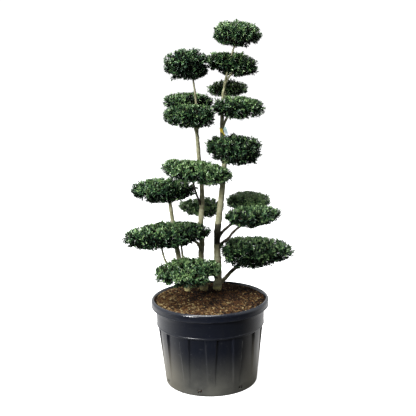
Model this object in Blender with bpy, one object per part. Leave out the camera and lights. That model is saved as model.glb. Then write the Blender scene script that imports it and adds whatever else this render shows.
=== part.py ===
"""Potted Japanese holly, clipped into sixteen clouds of leaves on three leaning stems.

Sizes are in metres and +Z is up. The origin is the centre of the pot's flat underside, and -Y is the
side that the plant is looked at from. The stems stand on the filled pot, a bough leaves a stem for
almost every cloud, and each cloud is one body: a small dense core that twigs and leaves stand out of.
"""

import math
import random
from dataclasses import dataclass

import bmesh
import bpy
from mathutils import Matrix, Vector

# Two pieces that touch keep this gap, and a limb keeps it to the cloud it runs through.
SEAT_GAP = 0.0003
LIMB_GAP = 0.0004

# The pot: a fluted tapering wall, a plain collar over it, and a rolled rim.
POT_HEIGHT = 0.438
RIM_RADIUS = 0.300
RIM_SKIRT = 0.039
COLLAR_TOP_RADIUS = 0.2780
COLLAR_FOOT_RADIUS = 0.2740
COLLAR_FOOT_Z = 0.306
STEP_Z = 0.302
STEP_RADIUS = 0.2690
FOOT_Z = 0.006
FOOT_RADIUS = 0.2365
BASE_RADIUS = 0.2300
WALL = 0.0030
FLOOR = 0.0040

FLUTES = 12
FLUTE_DEPTH = 0.007
FLUTE_FOOT_Z = 0.046
FLUTE_EDGE_DEG = 8.9
FLUTE_BED_DEG = 7.9
# Angle from a flute's middle, and whether the point lies in the flute.
FLUTE_PLAN = (
    (-FLUTE_EDGE_DEG, False),
    (-FLUTE_BED_DEG, True),
    (0.0, True),
    (FLUTE_BED_DEG, True),
    (FLUTE_EDGE_DEG, False),
    (180.0 / FLUTES, False),
)

# Pairs of drain slots, low in the wall.
DRAINS = 7
DRAIN_Z = 0.029
DRAIN_WIDTH = 0.009
DRAIN_HEIGHT = 0.017
DRAIN_WEB = 0.004
FIRST_DRAIN_DEG = -104.5

# The compost is level at the wall and rises a little to a flat patch that the stems stand on.
SOIL_EDGE_Z = 0.427
SOIL_SHOULDER_Z = 0.434
SOIL_TOP_Z = 0.440
STEM_FOOT_Z = SOIL_TOP_Z + SEAT_GAP
SOIL_PATCH_CENTRE = (-0.036, 0.078)
SOIL_PATCH_HALF = (0.135, 0.065)

# A cloud's core is this share of its outline, and its twigs end at this share.
CORE_SHARE = 0.82
TWIG_SHARE = 0.93
CORE_SEGMENTS = 12
CORE_RINGS = 6
LUMP = 0.05
TWIG_ROOT_RADIUS = 0.0034
TWIG_TIP_RADIUS = 0.0024
LEAF_LENGTH = 0.050
LEAF_WIDTH = 0.026
LEAF_FOLD = 0.0030
LEAVES_ON_A_TWIG = 3
# How far along its twig the first leaf stands, and how much further the next one does.
FIRST_LEAF = 0.80
LEAF_STEP = 0.09
# Square metres of a cloud's outline for each twig.
AREA_FOR_A_TWIG = 0.0240
GOLDEN_ANGLE = math.pi * (3.0 - math.sqrt(5.0))

GREEN = (0.035, 0.085, 0.022)
BARK = (0.36, 0.33, 0.21)
BLACK = (0.030, 0.032, 0.036)
COMPOST = (0.16, 0.095, 0.045)


@dataclass
class Limb:
    """A stem or a bough: the points it grows through, and its radius at both ends."""

    name: str
    points: list
    root: float
    tip: float
    flare: float = 0.0
    parent: str = ""
    sides: int = 6


@dataclass
class Cloud:
    """A clipped mass of leaves: its centre, half sizes and lean, and how it is shaped."""

    name: str
    centre: tuple
    half: tuple
    tilt_deg: float = 0.0
    keel: float = 0.0
    fullness: float = 1.9
    seed: int = 1
    taper: float = 0.0


STEMS = (
    Limb(
        "stem_left",
        [
            (-0.111, 0.078, STEM_FOOT_Z),
            (-0.126, 0.066, 0.535),
            (-0.154, 0.046, 0.630),
            (-0.171, 0.036, 0.755),
            (-0.186, 0.024, 0.885),
            (-0.194, 0.016, 0.952),
        ],
        root=0.0125,
        tip=0.0068,
        flare=0.011,
        sides=8,
    ),
    Limb(
        "stem_middle",
        [
            (-0.028, 0.080, STEM_FOOT_Z),
            (-0.037, 0.082, 0.560),
            (-0.041, 0.080, 0.640),
            (-0.035, 0.080, 0.705),
            (-0.040, 0.080, 0.790),
            (-0.031, 0.080, 0.900),
            (-0.029, 0.068, 1.005),
            (-0.037, 0.052, 1.110),
            (-0.046, 0.032, 1.270),
            (-0.047, 0.020, 1.420),
            (-0.062, 0.000, 1.560),
        ],
        root=0.0142,
        tip=0.0052,
        flare=0.012,
        sides=8,
    ),
    Limb(
        "stem_right",
        [
            (0.039, 0.080, STEM_FOOT_Z),
            (0.046, 0.096, 0.550),
            (0.043, 0.100, 0.700),
            (0.050, 0.095, 0.795),
            (0.067, 0.080, 0.920),
            (0.079, 0.062, 1.030),
            (0.086, 0.050, 1.120),
            (0.078, 0.035, 1.275),
            (0.087, 0.030, 1.465),
            (0.121, 0.016, 1.610),
            (0.149, 0.004, 1.708),
        ],
        root=0.0172,
        tip=0.0050,
        flare=0.009,
        sides=8,
    ),
)

BOUGHS = (
    Limb(
        "bough_low_front",
        [(-0.034, 0.081, 0.476), (-0.052, 0.032, 0.510), (-0.082, -0.048, 0.566)],
        root=0.0085,
        tip=0.0062,
        parent="stem_middle",
    ),
    Limb(
        "bough_wide_left_outer",
        [
            (-0.124, 0.068, 0.522),
            (-0.176, 0.018, 0.578),
            (-0.217, -0.020, 0.630),
            (-0.234, -0.036, 0.695),
            (-0.243, -0.042, 0.738),
        ],
        root=0.0062,
        tip=0.0044,
        parent="stem_left",
    ),
    Limb(
        "bough_wide_left_inner",
        [
            (-0.120, 0.071, 0.502),
            (-0.122, 0.040, 0.560),
            (-0.132, 0.018, 0.630),
            (-0.141, 0.000, 0.726),
        ],
        root=0.0066,
        tip=0.0048,
        parent="stem_left",
    ),
    Limb(
        "bough_wide_right",
        [(-0.039, 0.080, 0.662), (-0.054, 0.060, 0.702), (-0.070, 0.030, 0.722), (-0.096, 0.002, 0.744)],
        root=0.0085,
        tip=0.0055,
        parent="stem_middle",
    ),
    Limb(
        "bough_low_right",
        [
            (0.041, 0.087, 0.474),
            (0.080, 0.092, 0.506),
            (0.114, 0.094, 0.542),
            (0.151, 0.094, 0.574),
            (0.188, 0.092, 0.606),
        ],
        root=0.0105,
        tip=0.0078,
        parent="stem_right",
    ),
    Limb(
        "bough_front_right",
        [
            (0.044, 0.100, 0.655),
            (0.070, 0.078, 0.700),
            (0.100, 0.030, 0.734),
            (0.122, -0.014, 0.774),
            (0.168, -0.056, 0.824),
        ],
        root=0.0078,
        tip=0.0056,
        parent="stem_right",
    ),
    Limb(
        "bough_back_right",
        [
            (0.043, 0.100, 0.706),
            (0.072, 0.106, 0.752),
            (0.125, 0.130, 0.794),
            (0.168, 0.158, 0.842),
            (0.196, 0.172, 0.876),
        ],
        root=0.0078,
        tip=0.0052,
        parent="stem_right",
    ),
    Limb(
        "bough_inner_back",
        [(-0.039, 0.080, 0.768), (-0.040, 0.116, 0.796), (-0.036, 0.168, 0.828)],
        root=0.0070,
        tip=0.0056,
        parent="stem_middle",
    ),
    Limb(
        "bough_middle",
        [
            (-0.031, 0.080, 0.890),
            (-0.046, 0.060, 0.932),
            (-0.058, 0.015, 0.972),
            (-0.067, -0.032, 1.020),
            (-0.074, -0.066, 1.066),
        ],
        root=0.0056,
        tip=0.0040,
        parent="stem_middle",
    ),
    Limb(
        "bough_fourth_right",
        [(0.085, 0.052, 1.090), (0.096, 0.034, 1.124), (0.112, 0.008, 1.152)],
        root=0.0076,
        tip=0.0060,
        parent="stem_right",
    ),
    Limb(
        "bough_third_right",
        [(0.078, 0.035, 1.270), (0.087, 0.022, 1.312), (0.112, 0.010, 1.362)],
        root=0.0066,
        tip=0.0050,
        parent="stem_right",
    ),
    Limb(
        "bough_second_left",
        [(-0.046, 0.033, 1.258), (-0.055, -0.004, 1.296), (-0.068, -0.058, 1.334)],
        root=0.0060,
        tip=0.0048,
        parent="stem_middle",
    ),
    Limb(
        "bough_second_left_back",
        [(-0.047, 0.024, 1.372), (-0.056, 0.064, 1.396), (-0.068, 0.112, 1.412)],
        root=0.0052,
        tip=0.0042,
        parent="stem_middle",
    ),
    Limb(
        "bough_small_back_right",
        [(0.083, 0.031, 1.420), (0.092, 0.070, 1.448), (0.106, 0.122, 1.470)],
        root=0.0048,
        tip=0.0040,
        parent="stem_right",
    ),
    Limb(
        "bough_second_right",
        [(0.096, 0.026, 1.512), (0.122, 0.030, 1.550), (0.150, 0.032, 1.580)],
        root=0.0050,
        tip=0.0040,
        parent="stem_right",
    ),
)

CLOUDS = (
    Cloud("cloud_low_front", (-0.104, -0.100, 0.594), (0.181, 0.128, 0.069), -4.0, 0.03, 2.3, 11, 0.08),
    Cloud("cloud_wide_left", (-0.206, -0.040, 0.771), (0.241, 0.146, 0.062), -3.8, -0.05, 2.0, 12, 0.06),
    Cloud("cloud_upper_left", (-0.215, 0.010, 0.992), (0.196, 0.138, 0.066), 1.5, -0.02, 1.9, 13, 0.08),
    Cloud("cloud_middle", (-0.050, -0.100, 1.099), (0.188, 0.116, 0.050), 10.5, 0.02, 2.2, 14, 0.04),
    Cloud("cloud_inner_back", (-0.032, 0.206, 0.865), (0.131, 0.108, 0.056), 0.0, 0.02, 1.9, 15, 0.18),
    Cloud("cloud_back_right", (0.223, 0.180, 0.900), (0.123, 0.108, 0.049), 3.0, -0.02, 2.1, 16, 0.04),
    Cloud("cloud_front_right", (0.225, -0.080, 0.865), (0.166, 0.118, 0.056), -2.0, -0.02, 1.8, 17, 0.12),
    Cloud("cloud_low_right", (0.244, 0.092, 0.647), (0.203, 0.146, 0.079), 0.0, -0.06, 2.3, 18, 0.09),
    Cloud("cloud_fourth_right", (0.136, 0.022, 1.190), (0.143, 0.126, 0.073), 2.0, 0.03, 2.9, 19, -0.02),
    Cloud("cloud_third_right", (0.158, 0.002, 1.398), (0.134, 0.110, 0.053), 4.0, 0.00, 2.4, 20),
    Cloud("cloud_small_back_right", (0.117, 0.172, 1.486), (0.111, 0.092, 0.042), 0.0, 0.00, 2.6, 21, 0.10),
    Cloud("cloud_second_right", (0.134, 0.066, 1.602), (0.134, 0.108, 0.056), 8.0, 0.00, 2.5, 22),
    Cloud("cloud_top", (0.159, 0.000, 1.740), (0.126, 0.116, 0.064), 6.0, 0.00, 2.5, 23),
    Cloud("cloud_top_left", (-0.089, -0.056, 1.604), (0.118, 0.108, 0.076), 1.0, 0.00, 2.7, 24),
    Cloud("cloud_second_left_back", (-0.085, 0.130, 1.425), (0.145, 0.108, 0.047), 2.0, 0.00, 2.3, 25),
    Cloud("cloud_second_left", (-0.078, -0.106, 1.361), (0.126, 0.110, 0.056), 0.0, 0.01, 2.7, 26, 0.02),
)


def clear_scene():
    for obj in list(bpy.data.objects):
        bpy.data.objects.remove(obj, do_unlink=True)


def finish(name, colour, roughness, metallic=0.0):
    material = bpy.data.materials.new(name)
    material.use_nodes = True
    shader = material.node_tree.nodes["Principled BSDF"]
    shader.inputs["Base Color"].default_value = (*colour, 1.0)
    shader.inputs["Roughness"].default_value = roughness
    shader.inputs["Metallic"].default_value = metallic
    return material


def new_object(name, mesh, material=None):
    obj = bpy.data.objects.new(name, mesh)
    bpy.context.scene.collection.objects.link(obj)
    if material:
        mesh.materials.append(material)
    return obj


def mesh_from(name, points, faces):
    mesh = bpy.data.meshes.new(name)
    mesh.from_pydata([tuple(point) for point in points], [], faces)
    mesh.validate()
    return mesh


def stacked_rings(name, rings):
    """A closed mesh from rings of equal length, each joined to the next, with a flat cap at both ends.

    The diagonal of a bent quad always rises the same way round, so that the two faces of a wall match.
    """
    count = len(rings[0])
    points = [point for ring in rings for point in ring]
    faces = [list(reversed(range(count)))]
    for level in range(len(rings) - 1):
        low, high = level * count, (level + 1) * count
        rising = rings[level][0][2] <= rings[level + 1][0][2]
        for i in range(count):
            j = (i + 1) % count
            if rising:
                faces += [(low + i, low + j, high + j), (low + i, high + j, high + i)]
            else:
                faces += [(low + i, low + j, high + i), (low + j, high + j, high + i)]
    faces.append(list(range((len(rings) - 1) * count, len(rings) * count)))
    return mesh_from(name, points, faces)


def shade_round(obj, sharp_deg=35.0):
    obj.data.shade_smooth()
    obj.data.set_sharp_from_angle(angle=math.radians(sharp_deg))


def apply_boolean(obj, operation, other=None, collection=None):
    modifier = obj.modifiers.new(operation.lower(), "BOOLEAN")
    modifier.operation = operation
    if collection:
        modifier.operand_type = "COLLECTION"
        modifier.collection = collection
    else:
        modifier.object = other
    bpy.context.view_layer.update()
    graph = bpy.context.evaluated_depsgraph_get()
    cut = bpy.data.meshes.new_from_object(obj.evaluated_get(graph))
    obj.modifiers.remove(modifier)
    obj.data = cut


def remove_object(obj):
    mesh = obj.data
    bpy.data.objects.remove(obj, do_unlink=True)
    bpy.data.meshes.remove(mesh)


def keep_largest_body(mesh):
    """Drops loose scraps, and the walls of a hollow that joining has sealed."""
    body = bmesh.new()
    body.from_mesh(mesh)
    unseen = set(body.verts)
    islands = []
    while unseen:
        queue = [unseen.pop()]
        island = set(queue)
        while queue:
            for edge in queue.pop().link_edges:
                for vert in edge.verts:
                    if vert in unseen:
                        unseen.remove(vert)
                        island.add(vert)
                        queue.append(vert)
        islands.append(island)
    islands.sort(key=len)
    scraps = [vert for island in islands[:-1] for vert in island]
    bmesh.ops.delete(body, geom=scraps, context="VERTS")
    body.to_mesh(mesh)
    body.free()


def wall_radius(z):
    share = (z - FOOT_Z) / (STEP_Z - FOOT_Z)
    return FOOT_RADIUS + (STEP_RADIUS - FOOT_RADIUS) * share


def flute_depth(z):
    share = (z - FLUTE_FOOT_Z) / (STEP_Z - FLUTE_FOOT_Z)
    return FLUTE_DEPTH * min(1.0, max(0.0, share))


def fluted_ring(radius, z, depth=0.0):
    """One level of the pot. The flutes lie depth further in, and a rib between two of them faces -Y."""
    ring = []
    for flute in range(FLUTES):
        middle = math.radians((flute + 0.5) * 360.0 / FLUTES - 90.0)
        for offset_deg, in_flute in FLUTE_PLAN:
            angle = middle + math.radians(offset_deg)
            reach = radius - depth * in_flute
            ring.append((reach * math.cos(angle), reach * math.sin(angle), z))
    return ring


def inner_levels(inset):
    """The pot's inner wall from the floor to the rim, moved in by inset, as (radius, z, flute depth)."""
    shift = WALL + inset
    return [
        (FOOT_RADIUS - shift, FLOOR + inset, 0.0),
        (wall_radius(FLUTE_FOOT_Z) - shift, FLUTE_FOOT_Z, 0.0),
        (STEP_RADIUS - shift, STEP_Z + shift, flute_depth(STEP_Z)),
        (COLLAR_FOOT_RADIUS - shift, COLLAR_FOOT_Z + shift, 0.0),
        (COLLAR_TOP_RADIUS - shift, POT_HEIGHT - 0.010, 0.0),
    ]


def outer_levels():
    """The pot's outside from the underside, up the wall, under and over the rolled rim."""
    top = POT_HEIGHT
    skirt = POT_HEIGHT - RIM_SKIRT
    return [
        (BASE_RADIUS, 0.0, 0.0),
        (FOOT_RADIUS, FOOT_Z, 0.0),
        (wall_radius(FLUTE_FOOT_Z), FLUTE_FOOT_Z, 0.0),
        (STEP_RADIUS, STEP_Z, flute_depth(STEP_Z)),
        (COLLAR_FOOT_RADIUS, COLLAR_FOOT_Z, 0.0),
        (COLLAR_TOP_RADIUS, top - 0.010, 0.0),
        (RIM_RADIUS - 0.005, top - 0.012, 0.0),
        (RIM_RADIUS - 0.006, skirt + 0.001, 0.0),
        (RIM_RADIUS - 0.002, skirt, 0.0),
        (RIM_RADIUS, top - 0.015, 0.0),
        (RIM_RADIUS - 0.003, top - 0.004, 0.0),
        (RIM_RADIUS - 0.009, top, 0.0),
        (RIM_RADIUS - 0.018, top - 0.001, 0.0),
    ]


def make_pot(material):
    levels = outer_levels() + list(reversed(inner_levels(0.0)))
    mesh = stacked_rings("pot", [fluted_ring(*level) for level in levels])
    pot = new_object("pot", mesh, material)
    cutters = bpy.data.collections.new("drain_cutters")
    bpy.context.scene.collection.children.link(cutters)
    slots = []
    for drain in range(DRAINS):
        angle = math.radians(FIRST_DRAIN_DEG + drain * 360.0 / DRAINS)
        for side in (-1.0, 1.0):
            cutter = bmesh.new()
            bmesh.ops.create_cube(cutter, size=1.0)
            shift = side * (DRAIN_WIDTH + DRAIN_WEB) / 2
            place = (
                Matrix.Rotation(angle, 4, "Z")
                @ Matrix.Translation((FOOT_RADIUS, shift, DRAIN_Z))
                @ Matrix.Diagonal((0.016, DRAIN_WIDTH, DRAIN_HEIGHT, 1.0))
            )
            bmesh.ops.transform(cutter, matrix=place, verts=cutter.verts)
            slot_mesh = bpy.data.meshes.new("drain_slot")
            cutter.to_mesh(slot_mesh)
            cutter.free()
            slot = bpy.data.objects.new("drain_slot", slot_mesh)
            cutters.objects.link(slot)
            slots.append(slot)
    apply_boolean(pot, "DIFFERENCE", collection=cutters)
    for slot in slots:
        remove_object(slot)
    bpy.data.collections.remove(cutters)
    shade_round(pot, 25.0)


def make_compost(material):
    levels = [level for level in inner_levels(SEAT_GAP) if level[1] < SOIL_EDGE_Z]
    rings = [fluted_ring(*level) for level in levels]
    low_radius, low_z, _ = levels[-1]
    high_radius, high_z, _ = inner_levels(SEAT_GAP)[-1]
    rise = (SOIL_EDGE_Z - low_z) / (high_z - low_z)
    edge_ring = fluted_ring(low_radius + (high_radius - low_radius) * rise, SOIL_EDGE_Z)
    patch_ring = [
        (
            SOIL_PATCH_CENTRE[0] + SOIL_PATCH_HALF[0] * x / math.hypot(x, y),
            SOIL_PATCH_CENTRE[1] + SOIL_PATCH_HALF[1] * y / math.hypot(x, y),
            SOIL_TOP_Z,
        )
        for x, y, _ in edge_ring
    ]
    shoulder_ring = [
        ((x + patch_x) / 2, (y + patch_y) / 2, SOIL_SHOULDER_Z)
        for (x, y, _), (patch_x, patch_y, _) in zip(edge_ring, patch_ring)
    ]
    mesh = stacked_rings("compost", [*rings, edge_ring, shoulder_ring, patch_ring])
    new_object("compost", mesh, material)


def smooth_path(points, steps):
    """A Catmull-Rom curve through the points, with this many steps between two of them."""
    knots = [Vector(point) for point in points]
    knots = [2 * knots[0] - knots[1], *knots, 2 * knots[-1] - knots[-2]]
    path = []
    for a, b, c, d in zip(knots, knots[1:], knots[2:], knots[3:]):
        for step in range(steps):
            t = step / steps
            path.append(
                0.5
                * (
                    2 * b
                    + (c - a) * t
                    + (2 * a - 5 * b + 4 * c - d) * t * t
                    + (3 * b - a - 3 * c + d) * t * t * t
                )
            )
    path.append(knots[-2])
    return path


def limb_path(limb):
    return smooth_path(limb.points, 2)


def limb_radii(limb, path):
    """The radius at each point of the path: an even taper, a root flare or collar, and slight knots."""
    along = [0.0]
    for a, b in zip(path, path[1:]):
        along.append(along[-1] + (b - a).length)
    rng = random.Random(limb.name)
    radii = []
    for distance in along:
        share = distance / along[-1]
        taper = limb.tip + (limb.root - limb.tip) * (1.0 - share) ** 1.15
        flare = limb.flare * math.exp(-distance / 0.028)
        knot = 1.0 + rng.uniform(-0.05, 0.05)
        radii.append(taper * knot + flare)
    return radii


def limb_mesh(limb, gap=0.0):
    """A tube along the limb's path. With a gap it is that much fatter and longer, for cutting clear."""
    path = limb_path(limb)
    radii = limb_radii(limb, path)
    rings = []
    side = Vector((1.0, 0.0, 0.0))
    for i, point in enumerate(path):
        ahead = path[min(i + 1, len(path) - 1)] - path[max(i - 1, 0)]
        if i == 0 and not limb.parent:
            ahead = Vector((0.0, 0.0, 1.0))
        ahead.normalize()
        side = (side - ahead * side.dot(ahead)).normalized()
        across = ahead.cross(side)
        centre = point.copy()
        if i == len(path) - 1:
            centre += ahead * gap
        if i == 0:
            centre -= ahead * gap
        ring = []
        for k in range(limb.sides):
            angle = 2 * math.pi * k / limb.sides
            reach = radii[i] + gap / math.cos(math.pi / limb.sides)
            ring.append(centre + (side * math.cos(angle) + across * math.sin(angle)) * reach)
        rings.append(ring)
    return stacked_rings(limb.name, rings)


def limb_cutter(limb, gap=LIMB_GAP):
    cutter = new_object(limb.name + "_cutter", limb_mesh(limb, gap))
    cutter.hide_render = True
    cutter.display_type = "WIRE"
    return cutter


def make_limbs(material):
    by_name = {limb.name: limb for limb in STEMS}
    for limb in (*STEMS, *BOUGHS):
        obj = new_object(limb.name, limb_mesh(limb), material)
        if limb.parent:
            cutter = limb_cutter(by_name[limb.parent], SEAT_GAP)
            apply_boolean(obj, "DIFFERENCE", other=cutter)
            remove_object(cutter)
            keep_largest_body(obj.data)
        shade_round(obj, 50.0)


def lump_at(cloud, direction):
    """A smooth unevenness of the outline that follows the cloud's seed."""
    rng = random.Random(cloud.seed)
    total = 0.0
    for wave in (2.0, 3.0, 4.5):
        phase_x, phase_y, phase_z = (rng.uniform(0, 2 * math.pi) for _ in range(3))
        total += (
            math.sin(wave * direction.x + phase_x)
            + math.sin(wave * direction.y + phase_y)
            + math.sin(wave * direction.z + phase_z)
        ) / wave
    return 1.0 + LUMP * total / 1.5


def cloud_point(cloud, direction, share=1.0):
    """Where a ray from the cloud's middle meets its outline, or a smaller copy of the outline."""
    flat = math.hypot(direction.x, direction.y)
    power = cloud.fullness
    scale = (flat**power + abs(direction.z) ** power) ** (-1.0 / power)
    scale *= lump_at(cloud, direction) * share
    length, depth, thickness = cloud.half
    point = Vector(
        (
            direction.x * length * scale,
            direction.y * depth * scale,
            direction.z * thickness * scale,
        )
    )
    widening = 1.0 + cloud.taper * point.z / thickness
    point.x *= widening
    point.y *= widening
    if point.z < 0:
        point.x += cloud.keel * (point.z / thickness) ** 2 * share
    tilt = Matrix.Rotation(math.radians(cloud.tilt_deg), 3, "Y")
    return Vector(cloud.centre) + tilt @ point


def twig_directions(cloud):
    """The cloud's two ends, then directions spread over it by the golden angle."""
    length, depth, thickness = cloud.half
    area = math.pi * (2 * length * depth + thickness * (length + depth))
    count = round(area / AREA_FOR_A_TWIG)
    yield Vector((-1.0, 0.0, 0.0))
    yield Vector((1.0, 0.0, 0.0))
    for i in range(count):
        height = 1.0 - 2.0 * (i + 0.5) / count
        height = math.copysign(abs(height) ** 0.8, height)
        angle = i * GOLDEN_ANGLE + cloud.seed
        flat = math.sqrt(1.0 - height * height)
        yield Vector((flat * math.cos(angle), flat * math.sin(angle), height))


def twig_mesh(root, tip):
    """A three-sided tapering twig."""
    ahead = (tip - root).normalized()
    side = ahead.orthogonal().normalized()
    across = ahead.cross(side)
    rings = []
    for centre, radius in ((root, TWIG_ROOT_RADIUS), (tip, TWIG_TIP_RADIUS)):
        rings.append(
            [
                centre + (side * math.cos(a) + across * math.sin(a)) * radius
                for a in (0.0, 2 * math.pi / 3, 4 * math.pi / 3)
            ]
        )
    return stacked_rings("twig", rings)


def leaf_mesh(base, tip, outward):
    """A pointed blade, folded up along its midrib: four faces, and thickest in the middle."""
    ahead = tip - base
    across = ahead.cross(outward).normalized()
    face = across.cross(ahead).normalized()
    middle = base + ahead * 0.52 + face * LEAF_FOLD
    half_width = across * LEAF_WIDTH * 0.5 * min(1.0, ahead.length / LEAF_LENGTH)
    points = [base, middle - half_width, tip, middle + half_width]
    faces = [(0, 2, 3), (0, 1, 2), (0, 3, 1), (2, 1, 3)]
    return mesh_from("leaf", points, faces)


def distance_to_limbs(point, limb_lines):
    """How far a point is from the nearest limb's bark."""
    nearest = math.inf
    for path, radii in limb_lines:
        for a, b, radius in zip(path, path[1:], radii):
            run = b - a
            t = min(1.0, max(0.0, (point - a).dot(run) / run.length_squared))
            nearest = min(nearest, (point - a - run * t).length - radius)
    return nearest


def touches_limbs(start, end, clear, limb_lines):
    return any(
        distance_to_limbs(start.lerp(end, share), limb_lines) < clear
        for share in (0.0, 0.25, 0.5, 0.75, 1.0)
    )


def core_mesh(cloud):
    core = bmesh.new()
    bmesh.ops.create_uvsphere(core, u_segments=CORE_SEGMENTS, v_segments=CORE_RINGS, radius=1.0)
    for vert in core.verts:
        vert.co = cloud_point(cloud, vert.co.normalized(), CORE_SHARE)
    mesh = bpy.data.meshes.new(cloud.name)
    core.to_mesh(mesh)
    core.free()
    return mesh


def cloud_foot(cloud, limb_lines):
    """The bough tip that carries the cloud: the limb end nearest its middle."""
    ends = [path[-1] for path, _ in limb_lines]
    return min(ends, key=lambda end: (end - Vector(cloud.centre)).length)


def grow_twigs(cloud, limb_lines, sprays):
    """Twigs fan out from the cloud's foot, each with leaves in turn round it that end on the outline."""
    rng = random.Random(cloud.seed * 7 + 3)
    foot = cloud_foot(cloud, limb_lines)
    middle = Vector(cloud.centre)
    for direction in twig_directions(cloud):
        tip = cloud_point(cloud, direction, TWIG_SHARE)
        root = foot.lerp(tip, 0.62)
        turn = rng.uniform(0, 2 * math.pi)
        if touches_limbs(root, tip, TWIG_ROOT_RADIUS + 0.002, limb_lines):
            continue
        sprays.append(twig_mesh(root, tip))
        outward = (cloud_point(cloud, direction) - tip).normalized()
        side = outward.orthogonal().normalized()
        across = outward.cross(side)
        for leaf in range(LEAVES_ON_A_TWIG):
            angle = turn + 2 * math.pi * leaf / LEAVES_ON_A_TWIG + rng.uniform(-0.3, 0.3)
            lean = side * math.cos(angle) + across * math.sin(angle)
            base = root.lerp(tip, FIRST_LEAF + LEAF_STEP * leaf)
            # The leaf's tip is drawn on to the outline, along the ray from the middle.
            ahead = tip + lean * LEAF_LENGTH * rng.uniform(0.75, 0.95)
            end = cloud_point(cloud, untilted(cloud, ahead - middle))
            if not touches_limbs(base, end, LEAF_WIDTH * 0.5 + 0.002, limb_lines):
                sprays.append(leaf_mesh(base, end, outward))


def untilted(cloud, offset):
    """The direction on the unshaped cloud that leads to this offset from its middle."""
    tilt = Matrix.Rotation(math.radians(-cloud.tilt_deg), 3, "Y")
    local = tilt @ offset
    length, depth, thickness = cloud.half
    return Vector((local.x / length, local.y / depth, local.z / thickness)).normalized()


def near(cloud, path):
    """Whether a limb comes into the box round a cloud."""
    reach = [half * 1.15 + 0.01 for half in cloud.half]
    reach[2] += cloud.half[0] * abs(math.sin(math.radians(cloud.tilt_deg)))
    return any(
        all(abs(point[axis] - cloud.centre[axis]) < reach[axis] for axis in range(3))
        for point in path
    )


def make_cloud(cloud, material):
    limbs = [limb for limb in (*STEMS, *BOUGHS) if near(cloud, smooth_path(limb.points, 6))]
    limb_lines = []
    for limb in limbs:
        path = limb_path(limb)
        limb_lines.append((path, limb_radii(limb, path)))
    body = new_object(cloud.name, core_mesh(cloud), material)
    for limb in limbs:
        cutter = limb_cutter(limb)
        apply_boolean(body, "DIFFERENCE", other=cutter)
        remove_object(cutter)
    keep_largest_body(body.data)
    sprays = []
    grow_twigs(cloud, limb_lines, sprays)
    growth = bpy.data.collections.new("growth")
    bpy.context.scene.collection.children.link(growth)
    pieces = [bpy.data.objects.new("spray", mesh) for mesh in sprays]
    for piece in pieces:
        growth.objects.link(piece)
    apply_boolean(body, "UNION", collection=growth)
    for piece in pieces:
        remove_object(piece)
    bpy.data.collections.remove(growth)
    keep_largest_body(body.data)
    body.data.materials.clear()
    body.data.materials.append(material)


def main():
    clear_scene()
    leaves = finish("holly_leaves", GREEN, 0.42)
    bark = finish("holly_bark", BARK, 0.85)
    plastic = finish("pot_plastic", BLACK, 0.45)
    compost = finish("bark_compost", COMPOST, 0.95)
    make_pot(plastic)
    make_compost(compost)
    make_limbs(bark)
    for cloud in CLOUDS:
        make_cloud(cloud, leaves)


main()
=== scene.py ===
"""The looks of the potted Japanese holly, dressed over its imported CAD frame.

Sizes are in metres and +Z is up. The pot is turned from one profile, the limbs are drawn along the
same points as in the CAD source, and every cloud of leaves grows from its bough's tip by the source's
rule, carried on to fine shoots and single leaves.
"""

import math
import random
from dataclasses import dataclass

import bmesh
import bpy
import numpy as np
from mathutils import Matrix, Vector


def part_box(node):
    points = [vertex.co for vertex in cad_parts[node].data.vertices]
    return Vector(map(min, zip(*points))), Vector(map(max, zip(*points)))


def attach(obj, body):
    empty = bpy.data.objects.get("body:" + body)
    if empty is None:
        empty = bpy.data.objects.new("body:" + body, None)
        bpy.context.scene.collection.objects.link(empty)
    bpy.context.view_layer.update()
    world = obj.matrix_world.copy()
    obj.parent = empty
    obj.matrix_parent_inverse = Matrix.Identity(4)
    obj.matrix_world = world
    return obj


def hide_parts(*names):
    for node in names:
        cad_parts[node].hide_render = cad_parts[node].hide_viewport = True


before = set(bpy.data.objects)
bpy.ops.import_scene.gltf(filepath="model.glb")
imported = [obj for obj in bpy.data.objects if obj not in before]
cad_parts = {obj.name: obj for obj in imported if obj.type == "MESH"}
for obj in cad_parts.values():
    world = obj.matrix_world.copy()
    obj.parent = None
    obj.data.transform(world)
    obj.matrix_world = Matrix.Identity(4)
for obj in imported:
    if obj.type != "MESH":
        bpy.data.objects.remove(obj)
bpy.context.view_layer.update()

# The camera, fitted to the pot's rim and foot in the photograph of 416 by 416 pixels.
PHOTO_SIDE_PX = 416
FOCAL_PX = 696
SENSOR = 36.0
CAMERA_PLACE = (0.0, -3.43, 1.51)
CAMERA_DOWN_DEG = 10.1
CAMERA_ROLL_DEG = 1.24

FLOOR_RADIUS = 30.0

# The pot, as in the CAD source.
POT_HEIGHT = 0.438
RIM_RADIUS = 0.300
SKIRT_FOOT_Z = 0.399
COLLAR_TOP_RADIUS = 0.2780
COLLAR_FOOT_RADIUS = 0.2740
COLLAR_FOOT_Z = 0.306
STEP_Z = 0.302
STEP_RADIUS = 0.2690
FOOT_Z = 0.006
FOOT_RADIUS = 0.2365
BASE_RADIUS = 0.2300
WALL = 0.0030
POT_STEPS = 576
FLUTES = 12
FLUTE_DEPTH = 0.0100
FLUTE_FOOT_Z = 0.046
# Half the breadth of the rib between two flutes, under the collar and at the foot.
RIB_TOP_DEG = 6.0
RIB_END_DEG = 3.6
FLUTE_SLOPE_DEG = 0.65
# The wall's outside lies within this depth of its cone, and its inside doesn't.
FLUTED_SKIN = 0.0085
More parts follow.
